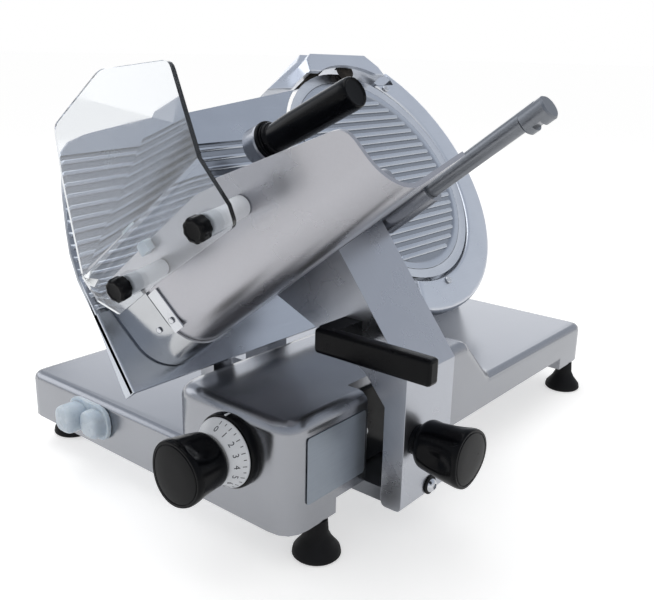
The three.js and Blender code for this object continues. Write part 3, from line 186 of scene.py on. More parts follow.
def makeFloor(s):
    # a pale sheet whose glow brings it to white where it is seen, and leaves the shadow in
    far = s["floorHalf"]
    mesh = bpy.data.meshes.new("floor")
    mesh.from_pydata([(-far, -far, 0), (far, -far, 0), (far, far, 0), (-far, far, 0)], [], [(0, 1, 2, 3)])
    floor = bpy.data.objects.new("floor", mesh)
    bpy.context.scene.collection.objects.link(floor)
    paper = bpy.data.materials.new("backdropPaper")
    paper.use_nodes = True
    tree = paper.node_tree
    tree.nodes.clear()
    path = addNode(tree, "ShaderNodeLightPath")
    mirrored = addNode(tree, "ShaderNodeMath", {"operation": "MAXIMUM"},
                       {0: path.outputs["Is Glossy Ray"], 1: path.outputs["Is Transmission Ray"]})
    seen = addNode(tree, "ShaderNodeMath", {"operation": "MAXIMUM"},
                   {0: path.outputs["Is Camera Ray"], 1: mirrored.outputs[0]})
    matt = addNode(tree, "ShaderNodeBsdfDiffuse", {"Color": linear(s["floor"])})
    glow = addNode(tree, "ShaderNodeEmission", {"Color": linear("ffffff"), "Strength": s["floorGlow"]})
    both = addNode(tree, "ShaderNodeAddShader", links={0: matt.outputs[0], 1: glow.outputs[0]})
    mix = addNode(tree, "ShaderNodeMixShader", links={
        0: seen.outputs[0], 1: matt.outputs[0], 2: both.outputs[0]})
    addNode(tree, "ShaderNodeOutputMaterial", links={"Surface": mix.outputs[0]})
    mesh.materials.append(paper)


def addLamp(name, place, aim, size, power):
    # a rectangle of light that the camera doesn't see
    data = bpy.data.lights.new(name, "AREA")
    data.shape = "RECTANGLE"
    data.size, data.size_y = size
    data.energy = power
    lamp = bpy.data.objects.new(name, data)
    bpy.context.scene.collection.objects.link(lamp)
    lamp.location = place
    lamp.rotation_euler = (Vector(aim) - Vector(place)).to_track_quat("-Z", "Y").to_euler()
    lamp.visible_camera = lamp.visible_transmission = False


makeWorld(studio)
makeFloor(studio)
for lampName, lampSet in lamps.items():
    addLamp(lampName, *lampSet)
bpy.context.scene.view_settings.view_transform = "Standard"
print("studio lit")

# Metals and plastics. Sizes are mm: grain is the width of the finest mark, run how many times longer it is
# than wide along its direction, cloud the width of the soft handling marks
along = {"travel": (0, 1, 0), "tray": tuple(trayAlong), "rise": tuple(bladeUp), "upright": (0, 0, 1)}
finishes = {
    # cast aluminium, bead blasted and lightly polished: soft grey sheen with a fine peel
    "castAluminium": {"colour": "95979c", "metal": 0.95, "rough": 0.25, "spread": 0.02, "grain": 0.9,
        "run": 1, "cloud": 60, "tone": 0.03, "bump": 0.03, "scratch": 0.01},
    # aluminium plate, satin ground along the travel and anodised: cool and even, with long faint lines
    "groundAluminium": {"colour": "aeb2b9", "metal": 0.95, "rough": 0.2, "spread": 0.08, "grain": 0.5,
        "run": 60, "along": "travel", "cloud": 60, "tone": 0.03, "bump": 0.03, "scratch": 0.01},
    # aluminium disc cover, turned and anodised
    "anodisedAluminium": {"colour": "cdd1d8", "metal": 0.93, "rough": 0.3, "spread": 0.07, "grain": 0.5,
        "run": 40, "along": "travel", "cloud": 50, "tone": 0.03, "bump": 0.03, "scratch": 0.01},
    # stainless sheet, brushed along the trough: long streaks over a warm grey
    "brushedStainless": {"colour": "a9a9ae", "metal": 0.97, "rough": 0.28, "spread": 0.03, "grain": 0.45,
        "run": 110, "along": "tray", "cloud": 90, "tone": 0.03, "bump": 0.03, "scratch": 0.01},
    # stainless sheet, polished
    "polishedStainless": {"colour": "b4b6b9", "metal": 1.0, "rough": 0.14, "spread": 0.06, "grain": 0.4,
        "run": 50, "along": "tray", "cloud": 40, "tone": 0.05, "bump": 0.02, "scratch": 0.06},
    # aluminium bar, milled and anodised: cool grey, fine lines up the slope
    "milledAluminium": {"colour": "acafb6", "metal": 0.94, "rough": 0.28, "spread": 0.08, "grain": 0.5,
        "run": 50, "along": "rise", "cloud": 55, "tone": 0.03, "bump": 0.03, "scratch": 0.01},
    # aluminium plate with shallow ribs, anodised: painted shade makes the grooves' colour darker
    "ribbedAluminium": {"colour": "b9bec6", "metal": 0.95, "rough": 0.22, "spread": 0.06, "grain": 0.5,
        "run": 60, "along": "travel", "cloud": 60, "tone": 0.03, "bump": 0.02, "scratch": 0.02,
        "grooveShade": 0.62},
    # aluminium foil plate, etched: flat blue grey
    "etchedPlate": {"colour": "8d959f", "metal": 0.7, "rough": 0.36, "spread": 0.06, "grain": 0.5,
        "run": 30, "along": "travel", "cloud": 30, "tone": 0.05, "bump": 0.02, "scratch": 0.06},
    # hardened steel, ground: bright with a fine grind
    "groundSteel": {"colour": "d2d4d8", "metal": 1.0, "rough": 0.16, "spread": 0.05, "grain": 0.3,
        "run": 20, "along": "travel", "cloud": 40, "tone": 0.04, "bump": 0.02, "scratch": 0.04},
    # stainless screws, rods and rings, polished
    "polishedSteel": {"colour": "c4c6ca", "metal": 1.0, "rough": 0.19, "spread": 0.06, "grain": 0.4,
        "run": 1, "cloud": 20, "tone": 0.05, "bump": 0.02, "scratch": 0.04},
    # steel bar, centreless ground and oiled: dark grey, matt
    "oiledSteel": {"colour": "787b80", "metal": 0.96, "rough": 0.33, "spread": 0.08, "grain": 0.5,
        "run": 1, "cloud": 25, "tone": 0.08, "bump": 0.04, "scratch": 0.06},
    # ABS, moulded and glossy: near black with a soft peel and faint rub marks
    "blackAbs": {"colour": "06070a", "metal": 0.0, "gloss": 0.1, "rough": 0.2, "spread": 0.08,
        "grain": 1.4, "run": 1, "cloud": 22, "tone": 0.1, "bump": 0.03, "scratch": 0.1},
    # rubber, moulded: matt, slightly dusty
    "blackRubber": {"colour": "0b0b0d", "metal": 0.0, "gloss": 0.2, "rough": 0.62, "spread": 0.12,
        "grain": 0.6, "run": 1, "cloud": 15, "tone": 0.15, "bump": 0.12, "scratch": 0.0},
    # nylon, turned
    "whiteNylon": {"colour": "e6e9ee", "metal": 0.0, "rough": 0.34, "spread": 0.08, "grain": 0.5,
        "run": 1, "cloud": 12, "tone": 0.03, "bump": 0.04, "scratch": 0.04},
    # marking ink on the dial
    "dialInk": {"colour": "2b2f38", "metal": 0.0, "rough": 0.5, "spread": 0.05, "grain": 0.4, "run": 1,
        "cloud": 6, "tone": 0.1, "bump": 0.0, "scratch": 0.0},
    # grit in a vitrified bond, coloured dark grey to paint the shade inside the sharpener's cap onto the
    # stones
    "gritDarkenedForShade": {"colour": "3c3732", "metal": 0.0, "rough": 0.9, "spread": 0.08, "grain": 0.4,
        "run": 1, "cloud": 8, "tone": 0.2, "bump": 0.5, "scratch": 0.0},
    # stove enamel on the motor's shell
    "motorPaint": {"colour": "55585e", "metal": 0.0, "rough": 0.42, "spread": 0.08, "grain": 0.8,
        "run": 1, "cloud": 25, "tone": 0.06, "bump": 0.08, "scratch": 0.04},
}


def startMaterial(name):
    # an empty material and the object's own coordinates
    material = bpy.data.materials.new(name)
    material.use_nodes = True
    tree = material.node_tree
    tree.nodes.clear()
    place = addNode(tree, "ShaderNodeTexCoord")
    return material, tree, place.outputs["Object"]


def grainTurn(direction):
    # the turn that brings a direction of the machine onto local Y
    d = Vector(direction).normalized()
    side = d.orthogonal().normalized()
    return Matrix((side, d, side.cross(d))).to_euler()


def makeFinish(name, s):
    # tone, roughness and bump each vary with the marks of how the surface was made and handled; where a share
    # is given for the grooves, painted shade darkens their low parts
    material, tree, place = startMaterial(name)
    # a noise of scale 1 has marks about a third of a metre wide
    turn = grainTurn(along[s.get("along", "travel")])
    turned = addNode(tree, "ShaderNodeMapping", {"vector_type": "VECTOR", "Rotation": turn},
                     {"Vector": place})
    drawn = addNode(tree, "ShaderNodeMapping", {"vector_type": "VECTOR", "Scale": (1, 1 / s["run"], 1)},
                    {"Vector": turned.outputs[0]})
    fine = addNode(tree, "ShaderNodeTexNoise", {"Scale": 1000 / s["grain"] / 3, "Detail": 4.0},
                   {"Vector": drawn.outputs[0]})
    cloud = addNode(tree, "ShaderNodeTexNoise", {"Scale": 1000 / s["cloud"], "Detail": 4.0, "Roughness": 0.6},
                    {"Vector": place})
    rubbed = addNode(tree, "ShaderNodeTexNoise", {"Scale": 1000 / s["cloud"] * 4, "Detail": 5.0,
                                                  "Roughness": 0.7}, {"Vector": place})
    marks = addNode(tree, "ShaderNodeMapRange", {"From Min": 0.58, "From Max": 0.75, "To Min": 0.0,
                                                 "To Max": s["scratch"]}, {"Value": rubbed.outputs["Fac"]})
    base = linear(s["colour"])
    shade = lambda k: tuple(min(1, c * k) for c in base[:3]) + (1,)
    mixed = addNode(tree, "ShaderNodeMath", {"operation": "MULTIPLY_ADD", 1: 0.45},
                    {0: fine.outputs["Fac"], 2: cloud.outputs["Fac"]})
    colour = addRamp(tree, mixed.outputs[0], [(0.55, shade(1 - s["tone"])), (0.9, shade(1 + s["tone"]))])
    # painted shade: the colour of points low between the ribs is darkened, down to this share at the floor of
    # a groove
    if "grooveShade" in s:
        raised = addNode(tree, "ShaderNodeAttribute", {"attribute_name": "raised"})
        grooveShadeFactor = addNode(tree, "ShaderNodeMapRange", {"To Min": s["grooveShade"], "To Max": 1.0},
                        {"Value": raised.outputs["Fac"]})
        colour = addNode(tree, "ShaderNodeVectorMath", {"operation": "MULTIPLY"},
                         {0: colour, 1: grooveShadeFactor.outputs["Result"]}).outputs[0]
    handled = addNode(tree, "ShaderNodeMapRange", {
        "From Min": 0.35, "From Max": 0.7, "To Min": s["rough"] - s["spread"] / 2,
        "To Max": s["rough"] + s["spread"]}, {"Value": cloud.outputs["Fac"]})
    worn = addNode(tree, "ShaderNodeMath", {"operation": "ADD", "use_clamp": True},
                   {0: handled.outputs["Result"], 1: marks.outputs["Result"]})
    bump = addNode(tree, "ShaderNodeBump", {"Strength": 1.0, "Distance": s["bump"] / 1000},
                   {"Height": fine.outputs["Fac"]})
    shader = addNode(tree, "ShaderNodeBsdfPrincipled",
                     {"Metallic": s["metal"], "Specular IOR Level": s.get("gloss", 0.5)},
                     {"Base Color": colour, "Roughness": worn.outputs[0], "Normal": bump.outputs["Normal"]})
    addNode(tree, "ShaderNodeOutputMaterial", links={"Surface": shader.outputs[0]})
    return material


def makeClearSheet():
    # polycarbonate sheet: clear and faintly grey, with wiped smears about 15 mm wide
    material, tree, place = startMaterial("clearPolycarbonate")
    smear = addNode(tree, "ShaderNodeTexNoise", {"Scale": 22.0, "Detail": 4.0}, {"Vector": place})
    rough = addNode(tree, "ShaderNodeMapRange", {"From Min": 0.45, "From Max": 0.75, "To Min": 0.02,
                                                 "To Max": 0.1}, {"Value": smear.outputs["Fac"]})
    shader = addNode(tree, "ShaderNodeBsdfPrincipled",
                     {"Base Color": linear("eceff2"), "IOR": 1.58, "Transmission Weight": 1.0},
                     {"Roughness": rough.outputs["Result"]})
    addNode(tree, "ShaderNodeOutputMaterial", links={"Surface": shader.outputs[0]})
    return material


def makeSoftCap():
    # silicone switch boots: milky, with a cool tint where they are thick
    material, tree, place = startMaterial("milkySilicone")
    cloud = addNode(tree, "ShaderNodeTexNoise", {"Scale": 80.0, "Detail": 3.0}, {"Vector": place})
    colour = addRamp(tree, cloud.outputs["Fac"], [(0.35, linear("c3d0dc")), (0.7, linear("d3dde6"))])
    rough = addNode(tree, "ShaderNodeMapRange", {"To Min": 0.2, "To Max": 0.34},
                    {"Value": cloud.outputs["Fac"]})
    shader = addNode(tree, "ShaderNodeBsdfPrincipled",
                     {"Subsurface Weight": 0.35, "Subsurface Radius": (0.004, 0.005, 0.006),
                      "Subsurface Scale": 1.0, "IOR": 1.41},
                     {"Base Color": colour, "Roughness": rough.outputs["Result"]})
    addNode(tree, "ShaderNodeOutputMaterial", links={"Surface": shader.outputs[0]})
    return material


looks = {name: makeFinish(name, s) for name, s in finishes.items()}
looks["clearPolycarbonate"] = makeClearSheet()
looks["milkySilicone"] = makeSoftCap()

slotLooks = {
    "cast_aluminium": "castAluminium", "satin_aluminium": "anodisedAluminium", "blade_steel": "groundSteel",
    "bright_steel": "polishedSteel", "grey_steel": "oiledSteel", "black_plastic": "blackAbs",
    "black_rubber": "blackRubber", "white_nylon": "whiteNylon", "pale_cap": "milkySilicone",
    "clear_plastic": "clearPolycarbonate", "abrasive": "gritDarkenedForShade", "motor_grey": "motorPaint",
}
nodeLooks = {
    "head_casting": "anodisedAluminium", "tray": "brushedStainless", "tray_nose": "polishedStainless",
    "carriage_arm": "milledAluminium", "rod_bracket": "milledAluminium", "pusher_rod": "oiledSteel",
    "sharpener_cap": "anodisedAluminium", "pusher_plate": "groundAluminium", "rating_plate": "etchedPlate",
    "rod_end_block": "oiledSteel", "tray_catch": "milkySilicone",
}
# mm of bevel on each node's sharp edges, half a millimetre where no other is given
edgeWidths = {"blade": 0.1, "rating_plate": 0.2, "carriage_arm": 1.8, "carriage_handle": 1.2}
edging = {"width": 0.5, "weld": 0.02, "segments": 3, "angle": 32, "flatShare": 60}


def wear(thing, lookName):
    # one material takes the place of whatever was there
    thing.data.materials.clear()
    thing.data.materials.append(looks[lookName])


def softenEdges(thing, width, s):
    # welds the loose triangles, rounds the sharp edges a little and keeps flat faces flat
    thing.data.polygons.foreach_set("use_smooth", [True] * len(thing.data.polygons))
    weld = thing.modifiers.new("weld", "WELD")
    weld.merge_threshold = s["weld"] / 1000
    edge = thing.modifiers.new("softEdge", "BEVEL")
    edge.width = width / 1000
    edge.segments = s["segments"]
    edge.limit_method = "ANGLE"
    edge.angle_limit = math.radians(s["angle"])
    edge.use_clamp_overlap = True
    flat = thing.modifiers.new("flatFaces", "WEIGHTED_NORMAL")
    flat.mode = "FACE_AREA"
    flat.weight = s["flatShare"]


for part in frame["record"]["subparts"]:
    thing = nodes[part["node"]]
    wear(thing, nodeLooks.get(part["node"], slotLooks[part["material_slot"]]))
    softenEdges(thing, edgeWidths.get(part["node"], edging["width"]), edging)
print("materials on")


# Shapes: every new piece is a grid of points worked out at once
def filleted(corners, steps=6, closed=False):
    # each corner x, y, r gives way to a curve that starts r before it and ends r after it
    c = np.asarray(corners, float)
    p, r = c[:, :2], c[:, 2:3]
    before, after = np.roll(p, 1, axis=0) - p, np.roll(p, -1, axis=0) - p
    if not closed:
        before[0], after[-1] = after[0], before[-1]
        r[0] = r[-1] = 0
    unit = lambda d: d / np.maximum(np.linalg.norm(d, axis=1, keepdims=True), 1e-9)
    start, end = p + unit(before) * r, p + unit(after) * r
    t = np.linspace(0, 1, steps)[None, :, None]
    curve = start[:, None] * (1 - t) ** 2 + 2 * p[:, None] * t * (1 - t) + end[:, None] * t ** 2
    points = curve.reshape(-1, 2)
    keep = np.linalg.norm(points - np.roll(points, 1, axis=0), axis=1) > 1e-6
    keep[0] = keep[0] or not closed
    return points[keep]


# where the leaf starts and how much of the height it covers, how it swells, and the core it leaves alone
leafSet = {"start": 0.12, "span": 0.82, "swell": 1.3, "narrow": 3, "core": 0.3}


def turnedGrid(profile, sides=96, lobes=0, lobe=0.0, scoop=0.0, square=2.0):
    # radius and height along the profile carried round the axis. Between the lobes the radius drops by
    # a cosine, and by a narrow leaf that is deepest half way up. Above 2, square bulges the circle's corners
    r, z = np.asarray(profile, float).T[:2]
    angle = np.linspace(0, 2 * np.pi, sides, endpoint=False)
    wave = (1 - np.cos(lobes * angle)) / 2
    share = np.clip((z - z.min()) / (z.max() - z.min()), 0, 1)
    leaf = np.sin(np.pi * np.clip((share - leafSet["start"]) / leafSet["span"], 0, 1)) ** leafSet["swell"]
    reach = np.clip(r / r.max() - leafSet["core"], 0, 1)[:, None] / (1 - leafSet["core"])
    drop = lobe * wave[None, :] + scoop * leaf[:, None] * wave[None, :] ** leafSet["narrow"]
    radius = r[:, None] - reach * drop
    radius = np.where(r[:, None] > 0, np.maximum(radius, 0.01), 0)
    radius = radius / (np.abs(np.cos(angle)) ** square + np.abs(np.sin(angle)) ** square) ** (1 / square)
    return np.stack([radius * np.cos(angle), radius * np.sin(angle), np.repeat(z[:, None], sides, 1)], -1)


def insetRing(outline, inset):
    # the outline moved inwards along the mean of its two edges' normals, with full thickness at corners
    edge = np.roll(outline, -1, axis=0) - outline
    edge = edge / np.linalg.norm(edge, axis=1, keepdims=True)
    area = np.sum(outline[:, 0] * np.roll(outline[:, 1], -1) - outline[:, 1] * np.roll(outline[:, 0], -1))
    inward = np.stack([-edge[:, 1], edge[:, 0]], 1) * np.sign(area)
    mean = inward + np.roll(inward, 1, axis=0)
    mean = mean / np.maximum(np.sum(mean * mean, axis=1, keepdims=True) / 2, 0.5)
    return outline + mean * inset


def prismGrid(outline, low, high, edge, steps=4):
    # the outline carried from low to high; both rims are quarter rounds of the edge's radius
    turn = np.linspace(0, np.pi / 2, steps)
    insets = np.concatenate([edge * (1 - np.sin(turn)), edge * (1 - np.cos(turn))])
    heights = np.concatenate([low + edge * (1 - np.cos(turn)), high - edge * (1 - np.sin(turn))])
    rings = np.stack([insetRing(outline, inset) for inset in insets])
    tall = np.repeat(heights[:, None, None], outline.shape[0], 1)
    return np.concatenate([rings, tall], axis=-1)


def capsuleBars(centres, starts, ends, half, base, top, edge, sides=10, steps=4):
    # one bar for each centre: a flat oval from start to end, whose top rim is a quarter round
    turn = np.linspace(0, np.pi / 2, steps)
    radius = np.concatenate([[half, half], half - edge * (1 - np.cos(turn[1:]))])
    height = np.concatenate([[base, top - edge], top - edge * (1 - np.sin(turn[1:]))])
    angle = np.linspace(-np.pi / 2, np.pi / 2, sides)
    angle = np.concatenate([angle, angle + np.pi])
    tip = np.concatenate([np.ones(sides), np.zeros(sides)])
    middle = starts[:, None, None] + half + tip * (ends - starts - 2 * half)[:, None, None]
    x = middle + radius[None, :, None] * np.cos(angle)
    y = centres[:, None, None] + radius[None, :, None] * np.sin(angle)
    z = np.broadcast_to(height[None, :, None], x.shape)
    return np.stack([x, y, z], -1)


def gridFaces(rows, columns, first):
    # a quad between each point and its neighbours, closed round the columns
    i, j = np.meshgrid(np.arange(rows - 1), np.arange(columns), indexing="ij")
    k = (j + 1) % columns
    quads = np.stack([i * columns + j, i * columns + k, (i + 1) * columns + k, (i + 1) * columns + j], -1)
    return (quads.reshape(-1, 4) + first).tolist()


# metres within which points are one: on a piece, and on the dial's fine ink
mergeNear = {"piece": 2e-6, "ink": 1e-7}


def closeShell(mesh, apart):
    # points nearer than a distance in metres merge, and every face turns outwards
    shell = bmesh.new()
    shell.from_mesh(mesh)
    bmesh.ops.remove_doubles(shell, verts=shell.verts, dist=apart)
    bmesh.ops.recalc_face_normals(shell, faces=shell.faces)
    shell.to_mesh(mesh)
    shell.free()


def enter(name, mesh, look, body):
    # the mesh as an object that wears a look and rides one body of the machine
    thing = bpy.data.objects.new(name, mesh)
    bpy.context.scene.collection.objects.link(thing)
    wear(thing, look)
    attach(thing, body)
    return thing


def addPiece(name, grids, slot, body, place, stands=(), look=None, sharp=38, raised=None):
    # each grid is a closed tube of points whose end rows are filled
    points, faces = [], []
    for grid in grids:
        first = sum(len(block) for block in points)
        rows, columns = grid.shape[:2]
        points.append(place(grid.reshape(-1, 3)))
        last = first + (rows - 1) * columns
        faces += gridFaces(rows, columns, first)
        faces += [list(range(first, first + columns)), list(range(last, last + columns))]
    mesh = bpy.data.meshes.new(name)
    mesh.from_pydata(np.concatenate(points).tolist(), [], faces)
    # a share from 0 low to 1 high for each point, read by the ribbed finish to paint shade onto the low parts
    if raised is not None:
        layer = mesh.attributes.new("raised", "FLOAT", "POINT")
        layer.data.foreach_set("value", np.concatenate([block.reshape(-1) for block in raised]))
    closeShell(mesh, mergeNear["piece"])
    mesh.polygons.foreach_set("use_smooth", [True] * len(mesh.polygons))
    mesh.set_sharp_from_angle(angle=math.radians(sharp))
    thing = enter(name, mesh, look or slotLooks[slot], body)
    if stands:
        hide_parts(*stands)


# Blade cover: a turned disc with bars across it
coverSet = {"radius": 137.4, "back": -8.7, "backEdge": 0.5, "root": -2.9, "margin": -0.9, "edge": 0.6,
            "lip": 129.5, "step": 3.0, "stepEdge": 1.5, "sides": 192,
            "top": -0.3, "pitch": 11.5, "count": 10, "half": 3.5, "sunk": 0.3, "ribRim": 126.0,
            "ribEdge": 2.0}


def makeCover(s):
    # the disc is a profile turned once round, and each bar ends on a circle inside the plain rim
    profile = filleted([(0, s["back"], 0), (s["radius"], s["back"], s["backEdge"]),
                        (s["radius"], s["margin"], s["edge"]), (s["lip"], s["margin"], s["stepEdge"]),
                        (s["lip"] - s["step"], s["root"], s["stepEdge"]), (0, s["root"], 0)])
    rows = np.arange(-s["count"], s["count"] + 1) * s["pitch"]
    reach = np.sqrt(s["ribRim"] ** 2 - rows ** 2)
    ribs = capsuleBars(rows, -reach, reach, s["half"], s["root"] - s["sunk"], s["top"], s["ribEdge"])
    grids = [turnedGrid(profile, s["sides"]), *ribs]
    # how high each point stands between the root and the plain margin: a mask that paints shade on the low
    # field between the bars
    level = [np.clip((grid[..., 2] - s["root"]) / (s["margin"] - s["root"]), 0, 1) for grid in grids]
    addPiece("bladeCover", grids, "satin_aluminium", "base", fromBlade, ["blade_cover"], "ribbedAluminium",
             raised=level)


makeCover(coverSet)

# Gauge plate: one face worked out over its height and width, ribbed in the middle band
gaugeSet = {"bottom": -158.0, "top": 128.0, "right": -62.0, "arc": 154.0, "thick": 6.0, "narrowest": 1.2,
            "rib": 2.2, "pitch": 11.5, "half": 2.9, "crown": 3.2, "fade": 0.5, "ribLow": -84.0,
            "ribTop": 66.0, "margin": 4.0, "edge": 1.1, "edgeShare": 0.4, "steps": 5, "rows": 900,
            "left": [[-158, -476], [-50, -476], [-25, -472], [-2, -465], [32, -453], [58, -442], [70, -436],
                     [80, -424], [86, -404], [88, -392], [103, -282], [128, -86.5]],
            "flange": 15.0, "flangeWall": 5.0, "flangeTop": -48.0, "flangeSunk": 1.5, "flangeEdge": 0.6}


def makeGauge(s):
    # up the plate run the left edge's table and the right edge's arc about the blade. Across it the height
    # is full at a rib's middle and falls by a power to its flanks, and fades out near both edges
    v = np.linspace(s["bottom"], s["top"], s["rows"])
    table = np.asarray(s["left"], float)
    left = np.interp(v, table[:, 0], table[:, 1])
    right = np.minimum(-np.sqrt(np.maximum(s["arc"] ** 2 - v ** 2, 0)), s["right"])
    right = np.maximum(right, left + s["narrowest"])
    turn = np.linspace(0, np.pi / 2, s["steps"])
    border = np.linspace(s["edge"], s["edge"] + s["margin"], s["steps"] + 1)[1:]
    inset = np.concatenate([s["edge"] * (1 - np.cos(turn)), border])
    drop = np.concatenate([s["edge"] * (1 - np.sin(turn)), np.zeros(s["steps"])])
    width = (right - left)[:, None]
    near = left[:, None] + np.minimum(inset[None, :], width * s["edgeShare"])
    far = right[:, None] - np.minimum(inset[None, :], width * s["edgeShare"])
    u = np.concatenate([near, far[:, ::-1]], axis=1)
    fromEdge = np.minimum(u - left[:, None], right[:, None] - u)
    count = math.floor((s["ribTop"] - s["ribLow"]) / s["pitch"])
    start = (s["ribLow"] + s["ribTop"] - (count - 1) * s["pitch"]) / 2
    rows = start + np.arange(count) * s["pitch"]
    apart = np.min(np.abs(v[:, None] - rows[None, :]), axis=1)
    bar = 1 - np.clip(apart / s["half"], 0, 1) ** s["crown"]
    plain = (v < s["ribLow"]) | (v > s["ribTop"])
    ends = np.clip((fromEdge - s["edge"]) / s["margin"], 0, 1) ** s["fade"]
    rise = np.where(plain[:, None], 1.0, bar[:, None] * ends)
    w = -s["rib"] * (1 - rise) - np.concatenate([drop, drop[::-1]])[None, :]
    back = np.full(s["rows"], -s["thick"])
    front = np.stack([u, np.repeat(v[:, None], u.shape[1], 1), w], -1)
    rear = np.stack([np.stack([right, v, back], -1), np.stack([left, v, back], -1)], 1)
    sheet = np.concatenate([front, rear], axis=1)
    # the rib height share again, as a mask for painted shade: the grooves' floors get a darker colour, the
    # plain bands and the back none
    shown = np.concatenate([rise, np.ones((s["rows"], 2))], axis=1)
    outline = np.array([[s["bottom"], -s["flangeSunk"]], [s["bottom"], -s["flange"]],
                        [s["bottom"] + s["flangeWall"], -s["flange"]], [s["flangeTop"], -s["flangeSunk"]]])
    corner = s["left"][0][1]
    flange = prismGrid(outline, corner, corner + s["flangeWall"], s["flangeEdge"])[..., [2, 0, 1]]
    addPiece("gaugePlate", [sheet, flange], "cast_aluminium", "gauge", fromBlade, ["gauge_plate"],
             "ribbedAluminium", raised=[shown, np.ones(flange.shape[:2])])


makeGauge(gaugeSet)
print("cover and gauge plate made")

# Knobs: a turned body with lobes, and on the two large ones a leaf shaped scoop between each two
indexKnob = {"x": -66, "y": -23.9, "z": 94, "lobes": 3, "lobe": 1.8, "scoop": 4.6, "body": [
    (0, 0, 0), (19.5, 0, 1), (24.6, 3.4, 3), (26.2, 10, 4), (28.8, 28, 6), (30, 36.2, 3), (28.9, 38.7, 1.2),
    (26.6, 39, 0.5), (26.2, 38.3, 0.2), (25.7, 38.3, 0.2), (25.3, 39.1, 0.5), (14, 39.7, 4), (0, 39.8, 0)]}
lockKnob = {"x": 46.3, "y": 124, "z": 92, "lobes": 3, "lobe": 1.8, "scoop": 4.6, "body": [
    (0, 0, 0), (18.5, 0, 1), (22.6, 4, 3), (24.2, 14, 5), (26.9, 34, 6), (28, 44.4, 3), (27, 47.2, 1.2),
    (24.8, 47.5, 0.5), (24.4, 46.8, 0.2), (23.9, 46.8, 0.2), (23.5, 47.6, 0.5), (13, 48.1, 4), (0, 48.2, 0)],
    "neck": [(0, -7, 0), (14, -7, 0.8), (14, 1, 0.8), (0, 1, 0)]}
tieKnob = {"lobes": 6, "lobe": 3.0, "scoop": 0.0, "back": -47.6, "body": [
    (0, 0.3, 0), (12, 0.3, 1), (17, 1.5, 2), (20.6, 12, 6), (22, 21, 3), (20, 25.2, 2), (0, 26, 0)]}
guardNut = {"lobes": 9, "lobe": 0.7, "scoop": 0.0, "out": 43.0, "body": [
    (0, 0, 0), (8.0, 0, 0.6), (9.4, 1.6, 1), (9.6, 9.6, 1), (8.8, 11.2, 1.2), (6.6, 11.6, 0.6),
    (6.2, 11, 0.3), (0, 10.8, 0)], "spots": {"upper": (190, 63), "lower": (86, 70)}}
knobSides = 180


def makeLobed(name, s, node, body, place):
    # the lobed body, and a plain neck behind it where there is one
    grids = [turnedGrid(filleted(s["body"]), knobSides, s["lobes"], s["lobe"], s["scoop"])]
    if "neck" in s:
        grids.append(turnedGrid(filleted(s["neck"])))
    addPiece(name, grids, "black_plastic", body, place, [node], sharp=60)


makeLobed("indexKnob", indexKnob, "index_knob", "index",
          towardFront(indexKnob["x"], indexKnob["y"], indexKnob["z"]))
makeLobed("lockKnob", lockKnob, "lock_knob", "carriage_lock",
          towardRight(lockKnob["x"], lockKnob["y"], lockKnob["z"]))
for height, (longAt, highAt) in guardNut["spots"].items():
    nutSpot = trayOrigin + longAt * bladeAxis + highAt * trayUp - guardNut["out"] * trayAlong
    makeLobed("guardNut" + height.capitalize(), guardNut, "guard_knob_" + height, "guard_nut_" + height,
              placedBy(nutSpot, bladeAxis, trayUp, -trayAlong))
makeLobed("tieKnob", tieKnob, "cover_tie_knob", "cover_tie", placedBy(
    bladeCentre + tieKnob["back"] * bladeAxis, bladeAlong, bladeUp, -bladeAxis))
print("knobs made")

# Index dial: a bezel with a pointer mark, and a white cone that carries the figures and ticks
dialSet = {"x": -66, "z": 94, "neck": 29.0, "back": 0.6, "lipBack": 8.6, "rim": 31.0, "rimDeep": 10.6,
           "face": 21.5, "faceDeep": 23.6, "sides": 160,
           "zero": 88.0, "step": -22.8, "figures": 13, "figureHigh": 5.4, "figureShare": 0.6,
           "tickFrom": 0.1, "tickTo": 0.32, "shorter": 0.07, "tickHalf": 0.32, "ink": 0.12}
bezelSet = {"ring": 33.0, "swell": 0.6, "swellDeep": 2.5, "deep": 8.0, "inner": 29.5, "back": 0.3,
            "mark": (2.0, 7.2), "markHalf": 1.1, "markRoot": 1.0, "markRise": 0.25, "markAt": 0.45,
            "markEdge": 0.1}
figureSet = {"sizeShare": 1.4, "half": 0.06}


def coneSpot(s, angle, share):
    # a point of the cone's surface, a share of the way from its rim to its face
    radius = s["rim"] + (s["face"] - s["rim"]) * share
    deep = s["rimDeep"] + (s["faceDeep"] - s["rimDeep"]) * share
    return np.array([radius * math.cos(angle), radius * math.sin(angle), deep])


def coneAxes(s, angle):
    # across, outwards along the slope, and straight out of the cone
    slope = np.array([s["rim"] - s["face"], s["rimDeep"] - s["faceDeep"]])
    slope = slope / np.linalg.norm(slope)
    out = np.array([math.cos(angle), math.sin(angle), 0])
    up = out * slope[0] + np.array([0, 0, 1]) * slope[1]
    normal = -out * slope[1] + np.array([0, 0, 1]) * slope[0]
    return np.cross(up, normal), up, normal


def figureMesh(text, high, s):
    # the built-in letter shapes, made a thin closed solid centred on its middle, in mm
    curve = bpy.data.curves.new("figure", "FONT")
    curve.body = text
    curve.size = high * s["sizeShare"] / 1000
    curve.extrude = s["half"] / 1000
    curve.align_x = "CENTER"
    holder = bpy.data.objects.new("figure", curve)
    bpy.context.scene.collection.objects.link(holder)
    bpy.context.view_layer.update()
    mesh = bpy.data.meshes.new_from_object(holder)
    bpy.data.objects.remove(holder)
    points = np.empty(len(mesh.vertices) * 3)
    mesh.vertices.foreach_get("co", points)
    points = points.reshape(-1, 3) * 1000
    points[:, 1] -= (points[:, 1].max() + points[:, 1].min()) / 2
    points[:, 0] -= (points[:, 0].max() + points[:, 0].min()) / 2
    faces = [list(face.vertices) for face in mesh.polygons]
    bpy.data.meshes.remove(mesh)
    return points, faces


